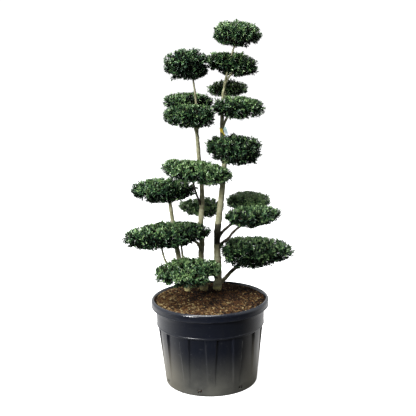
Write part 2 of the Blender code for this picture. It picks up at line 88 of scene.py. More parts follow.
# The heights at which the fluted wall has a ring of points, close together at both ends.
WALL_LEVELS = (
    0.012, 0.020, 0.029, 0.038, FLUTE_FOOT_Z, 0.052, 0.060, 0.072, 0.090,
    0.115, 0.145, 0.175, 0.205, 0.235, 0.260, 0.280, 0.293, STEP_Z,
)
DRAINS = 7
CRUMBS_IN_A_DRAIN = 10
DRAIN_Z = 0.029
DRAIN_WIDTH = 0.009
DRAIN_HEIGHT = 0.017
DRAIN_WEB = 0.004
FIRST_DRAIN_DEG = -104.5

# The compost, level at the wall and a little higher where the stems stand.
SOIL_EDGE_Z = 0.4265
SOIL_RISE = 0.0120
SOIL_RADIUS = 0.2800
SOIL_FOOT_Z = 0.410
SOIL_PATCH_CENTRE = (-0.036, 0.078)
SOIL_PATCH_HALF = (0.135, 0.065)
SOIL_SPOKES = 260
SOIL_RINGS = 58
MOUND_HEIGHT = 0.007
MOUND_SPREAD = 0.0011
CHIPS = 9600
HEAPED_SHARE = 0.06

STEM_FOOT_Z = 0.4403
FOOT_SUNK = 0.012
KNOBBY = ("stem_left", "stem_middle")
# How much thinner each stem is above its last large bough. The left one has none and is stouter there.
LEADER_THINS = {"stem_left": -0.14, "stem_middle": 0.26, "stem_right": 0.34}
STEPS_IN_SOURCE = 2
FINE_STEPS = 12
STEM_BEVEL = 12
BOUGH_BEVEL = 7
# How far up a stem its flare and the narrowing at the soil reach, and along a bough its collar.
FLARE_REACH = 0.028
PINCH_REACH = 0.012
COLLAR_REACH = 0.014
BUD_BREADTH = 0.007
ROOT_KNOBS = 11

GOLDEN_ANGLE = math.pi * (3.0 - math.sqrt(5.0))
LUMP = 0.05
BRANCHLETS = 12
AREA_FOR_A_TWIG = 0.0022
AREA_FOR_A_SHOOT = 0.00029
LEAVES_ON_A_SHOOT = 10
LEAF_LENGTH = (0.0160, 0.0232)
# Shoots stand in tufts, domed by this height, that reach a little past or short of the outline.
AREA_FOR_A_TUFT = 0.0013
TUFT_RADIUS = 0.020
TUFT_DOME = 0.0050
TUFT_UNEVEN = 0.0036
SHOOT_UNEVEN = 0.0028
STRAY_SHARE = 0.05
LEAF_BREADTH = 0.60
LEAFY_LENGTH = 0.046
# The radii of branchlets, twigs and shoots at their two ends, and where they end between the cloud's
# middle, at 0, and its outline, at 1. Some shoots end deep inside.
BRANCHLET_RADII = (0.0036, 0.0018)
TWIG_RADII = (0.0019, 0.0012)
SHOOT_RADII = (0.0011, 0.0006)
BRANCHLET_END = 0.56
TWIG_ENDS = (0.72, 0.84)
SHOOT_ENDS = (0.88, 0.99)
INNER_SHARE = 0.30
# How far twigs, the ends of shoots and leaves keep from the bark of stems and boughs.
TWIG_CLEARANCE = 0.004
SHOOT_END_CLEARANCE = 0.005
LEAF_CLEARANCE = 0.004
# How unevenly the shears cut, and how much further a stray shoot and its leaves may stand out.
CLIP_UNEVEN = 0.0035
STRAY_REACH = (0.004, 0.010)
STRAY_SLACK = 0.014
# A leaf's tone, painted light and shade among it, from 0 in deep shade to 1 at a young tip: its usual
# value, how far a spray and a single leaf differ from it, and the painted shade it loses at this depth
# under the outline.
SPRAY_TONE = 0.64
SPRAY_SPREAD = 0.11
LEAF_SPREAD = 0.30
DEPTH_SHADE = 0.62
DARK_DEPTH = 0.026
# How much lighter the upper side of a cloud is, as painted light, and how much its tone swells and fades
# along it.
TOP_LIGHT = 0.27
TONE_SWELL = 0.10
GREEN_CUTS = np.array((0.18, 0.36, 0.47, 0.66, 0.86))


@dataclass
class Limb:
    """A stem or a bough: its radius at both ends, and the points it grows through."""

    name: str
    root: float
    tip: float
    points: list
    flare: float = 0.0
    bark: str = "pale"


@dataclass
class Cloud:
    """A clipped mass of leaves: its lean and shape, near the source's, and how much painted light its green
    takes, below 0 painted shade.

    The wedge is how much thinner than its middle it is at its right end, and thicker at its left end.
    Left is how far its left end reaches past its CAD node, which is cut back from the limbs there.
    """

    name: str
    tilt_deg: float
    keel: float
    fullness: float
    seed: int
    taper: float
    light: float
    wedge: float = 0.0
    left: float = 0.0


STEMS = (
    Limb("stem_left", 0.0125, 0.0068, [
        (-0.111, 0.078, STEM_FOOT_Z), (-0.126, 0.066, 0.535), (-0.154, 0.046, 0.630),
        (-0.171, 0.036, 0.755), (-0.186, 0.024, 0.885), (-0.194, 0.016, 0.952),
    ], flare=0.011),
    Limb("stem_middle", 0.0142, 0.0052, [
        (-0.028, 0.080, STEM_FOOT_Z), (-0.037, 0.082, 0.560), (-0.041, 0.080, 0.640),
        (-0.035, 0.080, 0.705), (-0.040, 0.080, 0.790), (-0.031, 0.080, 0.900),
        (-0.029, 0.068, 1.005), (-0.037, 0.052, 1.110), (-0.046, 0.032, 1.270),
        (-0.047, 0.020, 1.420), (-0.062, 0.000, 1.560),
    ], flare=0.012),
    Limb("stem_right", 0.0172, 0.0050, [
        (0.039, 0.080, STEM_FOOT_Z), (0.046, 0.096, 0.550), (0.043, 0.100, 0.700),
        (0.050, 0.095, 0.795), (0.067, 0.080, 0.920), (0.079, 0.062, 1.030), (0.086, 0.050, 1.120),
        (0.078, 0.035, 1.275), (0.087, 0.030, 1.465), (0.121, 0.016, 1.610), (0.149, 0.004, 1.708),
    ], flare=0.009, bark="banded"),
)

BOUGHS = (
    Limb("bough_low_front", 0.0085, 0.0062, [
        (-0.034, 0.081, 0.476), (-0.052, 0.032, 0.510), (-0.082, -0.048, 0.566),
    ]),
    Limb("bough_wide_left_outer", 0.0062, 0.0044, [
        (-0.124, 0.068, 0.522), (-0.176, 0.018, 0.578), (-0.217, -0.020, 0.630),
        (-0.234, -0.036, 0.695), (-0.243, -0.042, 0.738),
    ]),
    Limb("bough_wide_left_inner", 0.0066, 0.0048, [
        (-0.120, 0.071, 0.502), (-0.122, 0.040, 0.560), (-0.132, 0.018, 0.630),
        (-0.141, 0.000, 0.726),
    ]),
    Limb("bough_wide_right", 0.0085, 0.0055, [
        (-0.039, 0.080, 0.662), (-0.054, 0.060, 0.702), (-0.070, 0.030, 0.722),
        (-0.096, 0.002, 0.744),
    ]),
    Limb("bough_low_right", 0.0105, 0.0078, [
        (0.041, 0.087, 0.474), (0.080, 0.092, 0.506), (0.114, 0.094, 0.542), (0.151, 0.094, 0.574),
        (0.188, 0.092, 0.606),
    ], bark="shaded"),
    Limb("bough_front_right", 0.0078, 0.0056, [
        (0.044, 0.100, 0.655), (0.070, 0.078, 0.700), (0.100, 0.030, 0.734), (0.122, -0.014, 0.774),
        (0.168, -0.056, 0.824),
    ], bark="dark"),
    Limb("bough_back_right", 0.0078, 0.0052, [
        (0.043, 0.100, 0.706), (0.072, 0.106, 0.752), (0.125, 0.130, 0.794), (0.168, 0.158, 0.842),
        (0.196, 0.172, 0.876),
    ], bark="dark"),
    Limb("bough_inner_back", 0.0070, 0.0056, [
        (-0.039, 0.080, 0.768), (-0.040, 0.116, 0.796), (-0.036, 0.168, 0.828),
    ]),
    Limb("bough_middle", 0.0056, 0.0040, [
        (-0.031, 0.080, 0.890), (-0.046, 0.060, 0.932), (-0.058, 0.015, 0.972),
        (-0.067, -0.032, 1.020), (-0.074, -0.066, 1.066),
    ], bark="dark"),
    Limb("bough_fourth_right", 0.0076, 0.0060, [
        (0.085, 0.052, 1.090), (0.096, 0.034, 1.124), (0.112, 0.008, 1.152),
    ]),
    Limb("bough_third_right", 0.0066, 0.0050, [
        (0.078, 0.035, 1.270), (0.087, 0.022, 1.312), (0.112, 0.010, 1.362),
    ]),
    Limb("bough_second_left", 0.0060, 0.0048, [
        (-0.046, 0.033, 1.258), (-0.055, -0.004, 1.296), (-0.068, -0.058, 1.334),
    ]),
    Limb("bough_second_left_back", 0.0052, 0.0042, [
        (-0.047, 0.024, 1.372), (-0.056, 0.064, 1.396), (-0.068, 0.112, 1.412),
    ]),
    Limb("bough_small_back_right", 0.0048, 0.0040, [
        (0.083, 0.031, 1.420), (0.092, 0.070, 1.448), (0.106, 0.122, 1.470),
    ]),
    Limb("bough_second_right", 0.0050, 0.0040, [
        (0.096, 0.026, 1.512), (0.122, 0.030, 1.550), (0.150, 0.032, 1.580),
    ]),
)

CLOUDS = (
    Cloud("low_front", -5.5, 0.03, 2.3, 11, 0.08, 0.19),
    Cloud("wide_left", -3.8, -0.05, 2.0, 12, 0.06, -0.02),
    Cloud("upper_left", 1.5, -0.02, 1.9, 13, 0.08, -0.10),
    Cloud("middle", 11.0, 0.02, 2.4, 14, 0.04, 0.24, left=0.008),
    Cloud("inner_back", 0.0, 0.02, 1.9, 15, 0.18, 0.30, left=0.010),
    Cloud("back_right", 3.0, -0.02, 2.1, 16, 0.04, 0.38, left=0.010),
    Cloud("front_right", -2.0, -0.02, 1.8, 17, 0.12, -0.06),
    Cloud("low_right", 1.5, -0.03, 2.6, 18, 0.16, 0.02, wedge=0.20, left=0.020),
    Cloud("fourth_right", 3.0, 0.03, 2.9, 19, 0.08, -0.08, wedge=-0.06, left=0.008),
    Cloud("third_right", 4.0, 0.00, 2.4, 20, 0.0, 0.00, left=0.006),
    Cloud("small_back_right", 3.0, -0.02, 2.6, 21, 0.10, 0.36, left=0.006),
    Cloud("second_right", 10.0, 0.00, 2.5, 22, 0.0, 0.05, left=0.010),
    Cloud("top", 7.0, -0.02, 2.5, 23, 0.0, 0.08),
    Cloud("top_left", 1.0, 0.00, 2.7, 24, 0.0, -0.14),
    Cloud("second_left_back", 2.0, 0.00, 2.3, 25, 0.0, -0.06),
    Cloud("second_left", 0.0, 0.03, 2.7, 26, 0.02, -0.04),
)

# Where the photo shows sky through a cloud: the cloud, both ends of the opening and its radius.
OPENINGS = (("low_front", (0.0130, -0.240, 0.602), (0.0142, 0.080, 0.511), 0.007),)

# The greens, from leaves in painted deep shade to the youngest tips in painted light, as colour, roughness
# and gloss.
LEAF_GREENS = (
    ("shaded_leaf", (0.0020, 0.0046, 0.0028), 0.60, 0.04),
    ("deep_leaf", (0.0070, 0.0185, 0.0085), 0.50, 0.12),
    ("blue_leaf", (0.0140, 0.0390, 0.0220), 0.42, 0.20),
    ("green_leaf", (0.0245, 0.0680, 0.0240), 0.36, 0.32),
    ("bright_leaf", (0.0590, 0.1360, 0.0470), 0.32, 0.45),
    ("young_leaf", (0.1660, 0.2700, 0.1000), 0.30, 0.50),
)

# The compost's chips, from darkest to palest, as colour and share.
CHIP_COLOURS = (
    ("damp_chip", (0.0090, 0.0056, 0.0042), 0.36),
    ("brown_chip", (0.0400, 0.0200, 0.0085), 0.27),
    ("russet_chip", (0.0800, 0.0360, 0.0140), 0.23),
    ("golden_chip", (0.1420, 0.0870, 0.0330), 0.10),
    ("straw_chip", (0.3000, 0.2300, 0.1100), 0.035),
)


def deselect_all():
    if bpy.context.object and bpy.context.object.mode != "OBJECT":
        bpy.ops.object.mode_set(mode="OBJECT")
    bpy.ops.object.select_all(action="DESELECT")


def take_up(obj):
    """Makes one object the only selected one, and active."""
    deselect_all()
    obj.select_set(True)
    bpy.context.view_layer.objects.active = obj


def just_added(name):
    obj = bpy.context.object
    obj.name = name
    obj.data.name = name
    return obj


def start_edit(obj):
    """Edit mode, with every vertex selected."""
    take_up(obj)
    bpy.ops.object.mode_set(mode="EDIT")
    bpy.ops.mesh.select_mode(type="VERT")
    bpy.ops.mesh.select_all(action="SELECT")


def end_edit():
    bpy.ops.object.mode_set(mode="OBJECT")


def select_points(obj, wanted):
    """In edit mode, selects the vertices whose place passes the test, and returns how many do."""
    bpy.ops.mesh.select_all(action="DESELECT")
    body = bmesh.from_edit_mesh(obj.data)
    count = 0
    for vert in body.verts:
        if wanted(vert.co):
            vert.select_set(True)
            count += 1
    body.select_flush_mode()
    bmesh.update_edit_mesh(obj.data)
    return count


def apply_place(obj):
    take_up(obj)
    bpy.ops.object.transform_apply(location=True, rotation=True, scale=True)


def apply_modifier(obj, kind, **settings):
    take_up(obj)
    modifier = obj.modifiers.new(kind.lower(), kind)
    for key, value in settings.items():
        setattr(modifier, key, value)
    bpy.ops.object.modifier_apply(modifier=modifier.name)


def roughen(obj, label, scale, strength, group=""):
    """Pushes the surface in and out along its normals by a cloudy noise of that scale."""
    texture = bpy.data.textures.new(label, "CLOUDS")
    texture.noise_scale = scale
    texture.noise_depth = 2
    apply_modifier(
        obj,
        "DISPLACE",
        texture=texture,
        texture_coords="LOCAL",
        strength=strength,
        mid_level=0.5,
        vertex_group=group,
    )
    bpy.data.textures.remove(texture)


def merge_into(obj, others):
    """Joins the others into the piece, as shells of the same mesh."""
    take_up(obj)
    for other in others:
        other.select_set(True)
    bpy.ops.object.join()


def smooth_shade(obj, angle_deg=40.0):
    take_up(obj)
    bpy.ops.object.shade_smooth_by_angle(angle=math.radians(angle_deg))


def wear(obj, *materials):
    obj.data.materials.clear()
    for material in materials:
        obj.data.materials.append(material)


def take_shape(obj):
    """The points and faces of a small modelled shape, for copying; the object itself is removed."""
    points = np.array([tuple(vert.co) for vert in obj.data.vertices])
    faces = [tuple(face.vertices) for face in obj.data.polygons]
    mesh = obj.data
    bpy.data.objects.remove(obj, do_unlink=True)
    bpy.data.meshes.remove(mesh)
    return points, faces


def unit(vectors):
    length = np.linalg.norm(vectors, axis=-1, keepdims=True)
    return vectors / np.maximum(length, 1e-9)


def joined_copies(shape, places, frames):
    """The points and faces of one copy of the shape at every place.

    A frame's three rows are where the shape's own x, y and z lead, with the copy's size in them.
    """
    points, faces = shape
    copies = places[:, None, :] + np.einsum("pk,nkc->npc", points, frames)
    stride = len(points)
    all_faces = []
    for start in range(0, len(places) * stride, stride):
        all_faces += [tuple(start + corner for corner in face) for face in faces]
    return copies.reshape(-1, 3), all_faces


def mesh_object(name, points, faces, smooth=True):
    mesh = bpy.data.meshes.new(name)
    mesh.from_pydata(points.tolist(), [], faces)
    if smooth:
        mesh.shade_smooth()
    obj = bpy.data.objects.new(name, mesh)
    bpy.context.scene.collection.objects.link(obj)
    return obj


def deal(piece, kinds, faces_each=1):
    """Gives every copy in the piece, of so many faces each, its own material."""
    kinds = np.repeat(kinds, faces_each).astype(np.int32)
    piece.data.polygons.foreach_set("material_index", kinds)


def add_node(tree, kind, inputs=None, **settings):
    """A node with its settings, and with a value or a link for each named or numbered input."""
    node = tree.nodes.new("ShaderNode" + kind)
    for key, value in settings.items():
        setattr(node, key, value)
    for key, value in (inputs or {}).items():
        if isinstance(value, bpy.types.NodeSocket):
            tree.links.new(value, node.inputs[key])
        else:
            node.inputs[key].default_value = value
    return node


def ramp(tree, value, start, end, low=0.0, high=1.0, kind="SMOOTHSTEP"):
    """A mask or value that is low where the value is at start, and high where it is at end."""
    inputs = {"Value": value, "From Min": start, "From Max": end, "To Min": low, "To Max": high}
    return add_node(tree, "MapRange", inputs, interpolation_type=kind).outputs["Result"]


def start_group(name, inputs, output):
    """A shader node group that makes one number of several, and of a place where it reads one."""
    group = bpy.data.node_groups.new(name, "ShaderNodeTree")
    for label, value in inputs.items():
        kind = "NodeSocketVector" if label == "Place" else "NodeSocketFloat"
        group.interface.new_socket(name=label, in_out="INPUT", socket_type=kind).default_value = value
    group.interface.new_socket(name=output, in_out="OUTPUT", socket_type="NodeSocketFloat")
    given = group.nodes.new("NodeGroupInput").outputs
    result = group.nodes.new("NodeGroupOutput").inputs
    return group, given, result[output]


def noise_value(tree, place, scale, detail, roughness=0.6):
    inputs = {"Vector": place, "Scale": scale, "Detail": detail, "Roughness": roughness}
    return add_node(tree, "TexNoise", inputs).outputs["Fac"]


def patches_group():
    """Soft-edged patches: a noise cut between two levels."""
    inputs = {"Place": (0.0, 0.0, 0.0), "Scale": 40.0, "Detail": 3.0, "From": 0.45, "To": 0.60}
    group, given, result = start_group("patches", inputs, "Mask")
    noise = noise_value(group, given["Place"], given["Scale"], given["Detail"])
    group.links.new(ramp(group, noise, given["From"], given["To"]), result)


def height_group():
    """A mask that is 0 at one height and 1 at another, by Object Z."""
    group, given, result = start_group(
        "between_heights", {"Place": (0.0, 0.0, 0.0), "From": 0.0, "To": 1.0}, "Mask"
    )
    height = add_node(group, "SeparateXYZ", {"Vector": given["Place"]}).outputs["Z"]
    group.links.new(ramp(group, height, given["From"], given["To"]), result)


def edge_group():
    """A mask of the raised edges, for the pale wear and the painted highlight along them."""
    group, given, result = start_group("rubbed_edges", {"From": 0.51, "To": 0.56}, "Mask")
    pointed = add_node(group, "NewGeometry").outputs["Pointiness"]
    group.links.new(ramp(group, pointed, given["From"], given["To"]), result)


def relief_group():
    """A height for a Bump node, from a coarse and a fine noise."""
    inputs = {"Place": (0.0, 0.0, 0.0), "Coarse": 60.0, "Fine": 400.0, "Fine Share": 0.4}
    group, given, result = start_group("two_noise_relief", inputs, "Height")
    coarse = noise_value(group, given["Place"], given["Coarse"], 4.0)
    fine = noise_value(group, given["Place"], given["Fine"], 2.0, 0.5)
    blend = add_node(group, "Mix", {0: given["Fine Share"], 2: coarse, 3: fine}, data_type="FLOAT")
    group.links.new(blend.outputs[0], result)


def make_groups():
    patches_group()
    height_group()
    edge_group()
    relief_group()


class Finish:
    """A material under construction: its own Principled BSDF, and the colours laid over each other."""

    def __init__(self, name, roughness, colour=None, **constants):
        self.material = bpy.data.materials.new(name)
        self.material.use_nodes = True
        self.tree = self.material.node_tree
        self.shader = self.tree.nodes["Principled BSDF"]
        self.shader.inputs["Roughness"].default_value = roughness
        for key, value in constants.items():
            self.shader.inputs[key.replace("_", " ")].default_value = value
        self.place = add_node(self.tree, "TexCoord").outputs["Object"]
        self.colour = colour

    def stretched(self, scale):
        return add_node(self.tree, "Mapping", {"Vector": self.place, "Scale": scale}).outputs[0]

    def group(self, name, **inputs):
        node = add_node(self.tree, "Group", node_tree=bpy.data.node_groups[name])
        if "Place" in node.inputs:
            self.tree.links.new(self.place, node.inputs["Place"])
        for key, value in inputs.items():
            socket = node.inputs[key.replace("_", " ")]
            if isinstance(value, bpy.types.NodeSocket):
                self.tree.links.new(value, socket)
            else:
                socket.default_value = value
        return node.outputs[0]

    def patches(self, scale, start, end, **inputs):
        return self.group("patches", Scale=scale, From=start, To=end, **inputs)

    def heights(self, start, end, **inputs):
        return self.group("between_heights", From=start, To=end, **inputs)

    def times(self, first, second):
        return add_node(self.tree, "Math", {0: first, 1: second}, operation="MULTIPLY").outputs[0]

    def band(self, low, high, low_edge, high_edge):
        """A mask of the heights between low and high, with edges of these half widths."""
        above = self.heights(low - low_edge, low + low_edge)
        below = self.heights(high + high_edge, high - high_edge)
        return self.times(above, below)

    def lay(self, colour, mask, *others):
        """Lays a colour over the colours so far, as far as the product of the masks shows it."""
        for other in others:
            mask = self.times(mask, other)
        node = add_node(self.tree, "Mix", {0: mask}, data_type="RGBA")
        for index, part in ((6, self.colour), (7, colour)):
            if isinstance(part, bpy.types.NodeSocket):
                self.tree.links.new(part, node.inputs[index])
            else:
                node.inputs[index].default_value = (*part, 1.0)
        self.colour = node.outputs[2]

    def value_mix(self, mask, first, second):
        return add_node(self.tree, "Mix", {0: mask, 2: first, 3: second}, data_type="FLOAT").outputs[0]

    def feed(self, socket, value):
        self.tree.links.new(value, self.shader.inputs[socket])

    def painted(self, *others):
        """Feeds the colour to the Base Color and to other sockets, and hands the material over."""
        for socket in ("Base Color", *others):
            self.feed(socket, self.colour)
        return self.material

    def bump(self, coarse, fine, distance, strength=1.0, **inputs):
        height = self.group("two_noise_relief", Coarse=coarse, Fine=fine, **inputs)
        node = add_node(self.tree, "Bump", {"Height": height, "Distance": distance, "Strength": strength})
        self.feed("Normal", node.outputs["Normal"])


def pot_plastic():
    """Charcoal plastic: satin on the collar, pale along its edges with wear and a painted highlight, dusty
    towards the foot, and pale at the left and right sides with dust and a painted reflection.
    """
    finish = Finish("pot_plastic", 0.36, (0.0056, 0.0073, 0.0135), IOR=1.5)
    faded = (0.0098, 0.0110, 0.0150)
    dust = (0.1750, 0.1720, 0.1420)
    side_dust_and_reflection = (0.2700, 0.2450, 0.1850)
    pale_wear_and_highlight = (0.1100, 0.1150, 0.1200)
    low = finish.heights(0.25, -0.06)
    dusty = finish.times(low, finish.patches(7.0, -0.10, 0.75, Detail=4.0))
    finish.lay(faded, finish.patches(5.0, 0.38, 0.72, Place=finish.stretched((6.0, 6.0, 1.2))), 0.55)
    finish.lay(dust, dusty, 0.80)
    # Pale dust and painted reflection: the left side, up the lower wall, and the right side, up to the
    # collar, as seen from the front.
    sideways = {"Vector": finish.place, "Rotation": (0, math.pi / 2, 0)}
    across = add_node(finish.tree, "Mapping", sideways).outputs[0]
    finish.lay(side_dust_and_reflection, finish.heights(0.11, 0.27, Place=across), finish.heights(0.300, 0.020), 0.65)
    finish.lay(side_dust_and_reflection, finish.heights(-0.12, -0.27, Place=across), finish.heights(0.400, 0.030), 0.90)
    # Wear and painted highlight: the raised edges of the flutes and mouldings are laid pale.
    edges = finish.group("rubbed_edges", From=0.515, To=0.56)
    finish.lay(pale_wear_and_highlight, edges, finish.patches(22.0, 0.30, 0.60), 0.32)
    finish.lay(pale_wear_and_highlight, finish.patches(6.0, 0.66, 0.72, Place=finish.stretched((9.0, 9.0, 30.0))), 0.45)
    satin = finish.value_mix(finish.heights(0.414, 0.426), 0.30, 0.17)
    finish.feed("Roughness", finish.value_mix(dusty, satin, 0.66))
    finish.bump(90.0, 900.0, 0.0006, 0.5, Fine_Share=0.5)
    return finish.painted()


def compost_crumb():
    """The fine crumb between the chips: damp brown with dry golden grains."""
    finish = Finish("bark_compost", 0.95, (0.009, 0.006, 0.004), Specular_IOR_Level=0.1)
    finish.lay((0.042, 0.023, 0.011), finish.patches(190.0, 0.40, 0.60))
    dry = finish.patches(16.0, 0.42, 0.64, Detail=4.0)
    finish.lay((0.150, 0.094, 0.040), finish.patches(260.0, 0.58, 0.66, Detail=2.0), dry)
    finish.bump(170.0, 520.0, 0.004)
    return finish.painted()


def bark(name, pale, olive, dark, painted_shade_band=None, painted_light_band=None):
    """Smooth young bark: pale khaki with grey and olive blotches and short dark cracks.

    It is yellower at the foot and brighter there as painted light, with painted shade in dark creases. The
    painted shade band and the painted light band lie between two heights.
    """
    finish = Finish(name, 0.82, pale, Specular_IOR_Level=0.25)
    finish.lay(olive, finish.patches(38.0, 0.42, 0.60, Detail=5.0), 0.75)
    grey = finish.patches(75.0, 0.55, 0.68, Detail=4.0)
    finish.lay(tuple(min(1.0, c * 1.35) for c in pale), grey, 0.6)
    # Yellower at the foot, and brighter there as painted light under the clouds.
    foot = finish.heights(0.482, 0.454)
    finish.lay((0.720, 0.650, 0.270), foot, 0.80)
    # Painted light: a pale band between two heights where the bark lies in shade.
    if painted_light_band:
        finish.lay((0.740, 0.700, 0.440), finish.band(*painted_light_band, 0.020, 0.004))
    # Painted shade: dark creases among the knobs at the foot.
    finish.lay(dark, foot, finish.patches(95.0, 0.50, 0.60, Detail=2.0), 0.75)
    finish.lay(dark, finish.patches(120.0, 0.60, 0.70, Place=finish.stretched((1.0, 1.0, 3.2))), 0.8)
    # Painted shade: a dark band between two heights.
    if painted_shade_band:
        finish.lay(dark, finish.band(*painted_shade_band, 0.004, 0.004), 0.9)
    finish.feed("Roughness", finish.value_mix(grey, 0.74, 0.9))
    finish.bump(260.0, 900.0, 0.0022)
    return finish.painted()


def plain(name, colour, roughness, **constants):
    """For small things joined by the thousand, whose colours are dealt out piece by piece."""
    finish = Finish(name, roughness, **constants)
    finish.shader.inputs["Base Color"].default_value = (*colour, 1.0)
    finish.tree.nodes.remove(finish.place.node)
    return finish.material


def tag_plastic():
    """Thin pale plastic, mint at the top and lavender lower down, with painted light: it glows by its own
    emission.
    """
    finish = Finish("tag_plastic", 0.35, (0.600, 0.900, 0.860), Emission_Strength=0.42)
    finish.lay((0.740, 0.840, 0.960), finish.heights(1.300, 1.262))
    finish.lay((0.930, 0.970, 0.970), finish.patches(60.0, 0.40, 0.70), 0.4)
    return finish.painted("Emission Color")


def tie_plastic():
    """Bright yellow film, worn darker in patches, with painted light: it glows by its own emission."""
    finish = Finish("tie_plastic", 0.45, (1.000, 0.820, 0.120), Emission_Strength=0.30)
    finish.lay((0.950, 0.640, 0.060), finish.patches(90.0, 0.40, 0.65))
    return finish.painted("Emission Color")


def wall_radius(z):
    share = (z - FOOT_Z) / (STEP_Z - FOOT_Z)
    return FOOT_RADIUS + (STEP_RADIUS - FOOT_RADIUS) * share


def steps_from(radius, z, steps):
    """Points of a section, each given by how far it lies out of and above one place."""
    return [(radius + out, z + up) for out, up in steps]


def pot_profile():
    """The pot's section from the middle of its underside, up the outside, and down the inside."""
    underside = [(0.0, 0.004), (0.205, 0.004), (0.209, 0.0012), (0.212, 0.0), (BASE_RADIUS, 0.0)]
    foot = [(BASE_RADIUS + 0.0045, 0.0018), (FOOT_RADIUS, FOOT_Z)]
    wall = [(wall_radius(z), z) for z in WALL_LEVELS]
    step = [(STEP_RADIUS + 0.0026, COLLAR_FOOT_Z - 0.0032)]
    collar_foot = steps_from(
        COLLAR_FOOT_RADIUS,
        COLLAR_FOOT_Z,
        ((0.0002, -0.0012), (0.0014, 0.0012), (0.0016, 0.0050), (0.0010, 0.0072), (0.0003, 0.0082)),
    )
    collar = [(0.2752, 0.340), (0.2762, 0.368), (0.2768, 0.382), (0.2776, 0.384), (0.2779, 0.388)]
    collar += [(0.2774, 0.391), (0.2776, 0.405), (COLLAR_TOP_RADIUS, 0.4245)]
    under_the_rim = [(0.2850, 0.4262), (0.2930, 0.4252), (0.2940, 0.4200)]
    skirt = steps_from(
        0.0,
        SKIRT_FOOT_Z,
        (
            (0.2936, 0.0020), (0.2950, 0.0), (0.2972, -0.0003), (0.2988, 0.0010),
            (0.2993, 0.0032), (0.2986, 0.0054), (0.2988, 0.0120),
        ),
    )
    rim = [(0.2996, POT_HEIGHT - 0.0180)] + steps_from(
        RIM_RADIUS,
        POT_HEIGHT,
        (
            (0.0, -0.0130), (-0.0006, -0.0085), (-0.0026, -0.0044), (-0.0054, -0.0016), (-0.0082, -0.0002),
            (-0.0108, 0.0), (-0.0134, -0.0010), (-0.0152, -0.0034), (-0.0166, -0.0080),
        ),
    )
    inside = [
        (COLLAR_TOP_RADIUS - 0.0010, POT_HEIGHT - 0.0150),
        (COLLAR_TOP_RADIUS - WALL, POT_HEIGHT - 0.0240),
        (COLLAR_FOOT_RADIUS - WALL, COLLAR_FOOT_Z + 0.0030),
        (0.2540, COLLAR_FOOT_Z - 0.0060),
        (0.2290, FLUTE_FOOT_Z),
        (0.2250, 0.0110),
        (0.0, 0.0080),
    ]
    return underside + foot + wall + step + collar_foot + collar + under_the_rim + skirt + rim + inside


def turned(name, profile, steps):
    """A closed body of revolution, drawn point by point with extrude and then spun round Z."""
    bpy.ops.mesh.primitive_plane_add(size=0.01)
    obj = just_added(name)
    start_edit(obj)
    bpy.ops.mesh.merge(type="CENTER")
    radius, z = profile[0]
    bpy.ops.transform.translate(value=(radius, 0.0, z))
    for (r0, z0), (r1, z1) in zip(profile, profile[1:]):
        bpy.ops.mesh.extrude_region_move(TRANSFORM_OT_translate={"value": (r1 - r0, 0.0, z1 - z0)})
    bpy.ops.mesh.select_all(action="SELECT")
    bpy.ops.mesh.spin(steps=steps, angle=2 * math.pi, center=(0.0, 0.0, 0.0), axis=(0.0, 0.0, 1.0))
    bpy.ops.mesh.select_all(action="SELECT")
    bpy.ops.mesh.remove_doubles(threshold=0.00002)
    bpy.ops.mesh.normals_make_consistent(inside=False)
    end_edit()
    return obj


def press_flutes(pot):
    """Presses the twelve flutes into the wall, level by level, deeper towards the collar.

    What is left between two flutes is a rib, and one rib faces -Y.
    """
    pitch = 360.0 / FLUTES
    start_edit(pot)
    for z in WALL_LEVELS:
        rise = max(0.0, (z - FLUTE_FOOT_Z) / (STEP_Z - FLUTE_FOOT_Z))
        if rise == 0.0:
            continue
        depth = FLUTE_DEPTH * rise**0.75
        edge_deg = RIB_END_DEG + (RIB_TOP_DEG - RIB_END_DEG) * rise
        for rib_deg in (edge_deg, edge_deg + FLUTE_SLOPE_DEG):

            def in_flute(place, rib_deg=rib_deg, z=z):
                if abs(place.z - z) > 0.0002 or math.hypot(place.x, place.y) < wall_radius(z) - FLUTED_SKIN:
                    return False
                turn = math.degrees(math.atan2(place.y, place.x)) + 90.0
                return abs((turn + pitch / 2) % pitch - pitch / 2) > rib_deg

            if select_points(pot, in_flute):
                shrink = 1.0 - depth * 0.5 / wall_radius(z)
                bpy.ops.transform.resize(value=(shrink, shrink, 1.0), center_override=(0.0, 0.0, z))
    end_edit()


def cut_drains(pot):
    """Seven pairs of upright slots low in the wall, cut with rounded boxes."""
    cutters = []
    for drain in range(DRAINS):
        angle = math.radians(FIRST_DRAIN_DEG + drain * 360.0 / DRAINS)
        for side in (-1.0, 1.0):
            shift = side * (DRAIN_WIDTH + DRAIN_WEB) / 2
            place = Matrix.Rotation(angle, 4, "Z") @ Vector((FOOT_RADIUS, shift, DRAIN_Z))
            bpy.ops.mesh.primitive_cube_add(size=1.0, location=place, rotation=(0.0, 0.0, angle))
            cutter = just_added("drain_cutter")
            cutter.scale = (0.030, DRAIN_WIDTH, DRAIN_HEIGHT)
            apply_place(cutter)
            apply_modifier(cutter, "BEVEL", width=0.002, segments=3)
            cutters.append(cutter)
    merge_into(cutters[0], cutters[1:])
    apply_modifier(pot, "BOOLEAN", operation="DIFFERENCE", object=cutters[0], solver="EXACT")
    mesh = cutters[0].data
    bpy.data.objects.remove(cutters[0], do_unlink=True)
    bpy.data.meshes.remove(mesh)


def make_pot():
    pot = turned("pot_shell", pot_profile(), POT_STEPS)
    press_flutes(pot)
    cut_drains(pot)
    smooth_shade(pot, 32.0)
    wear(pot, pot_plastic())
    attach(pot, "root")
    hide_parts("pot")


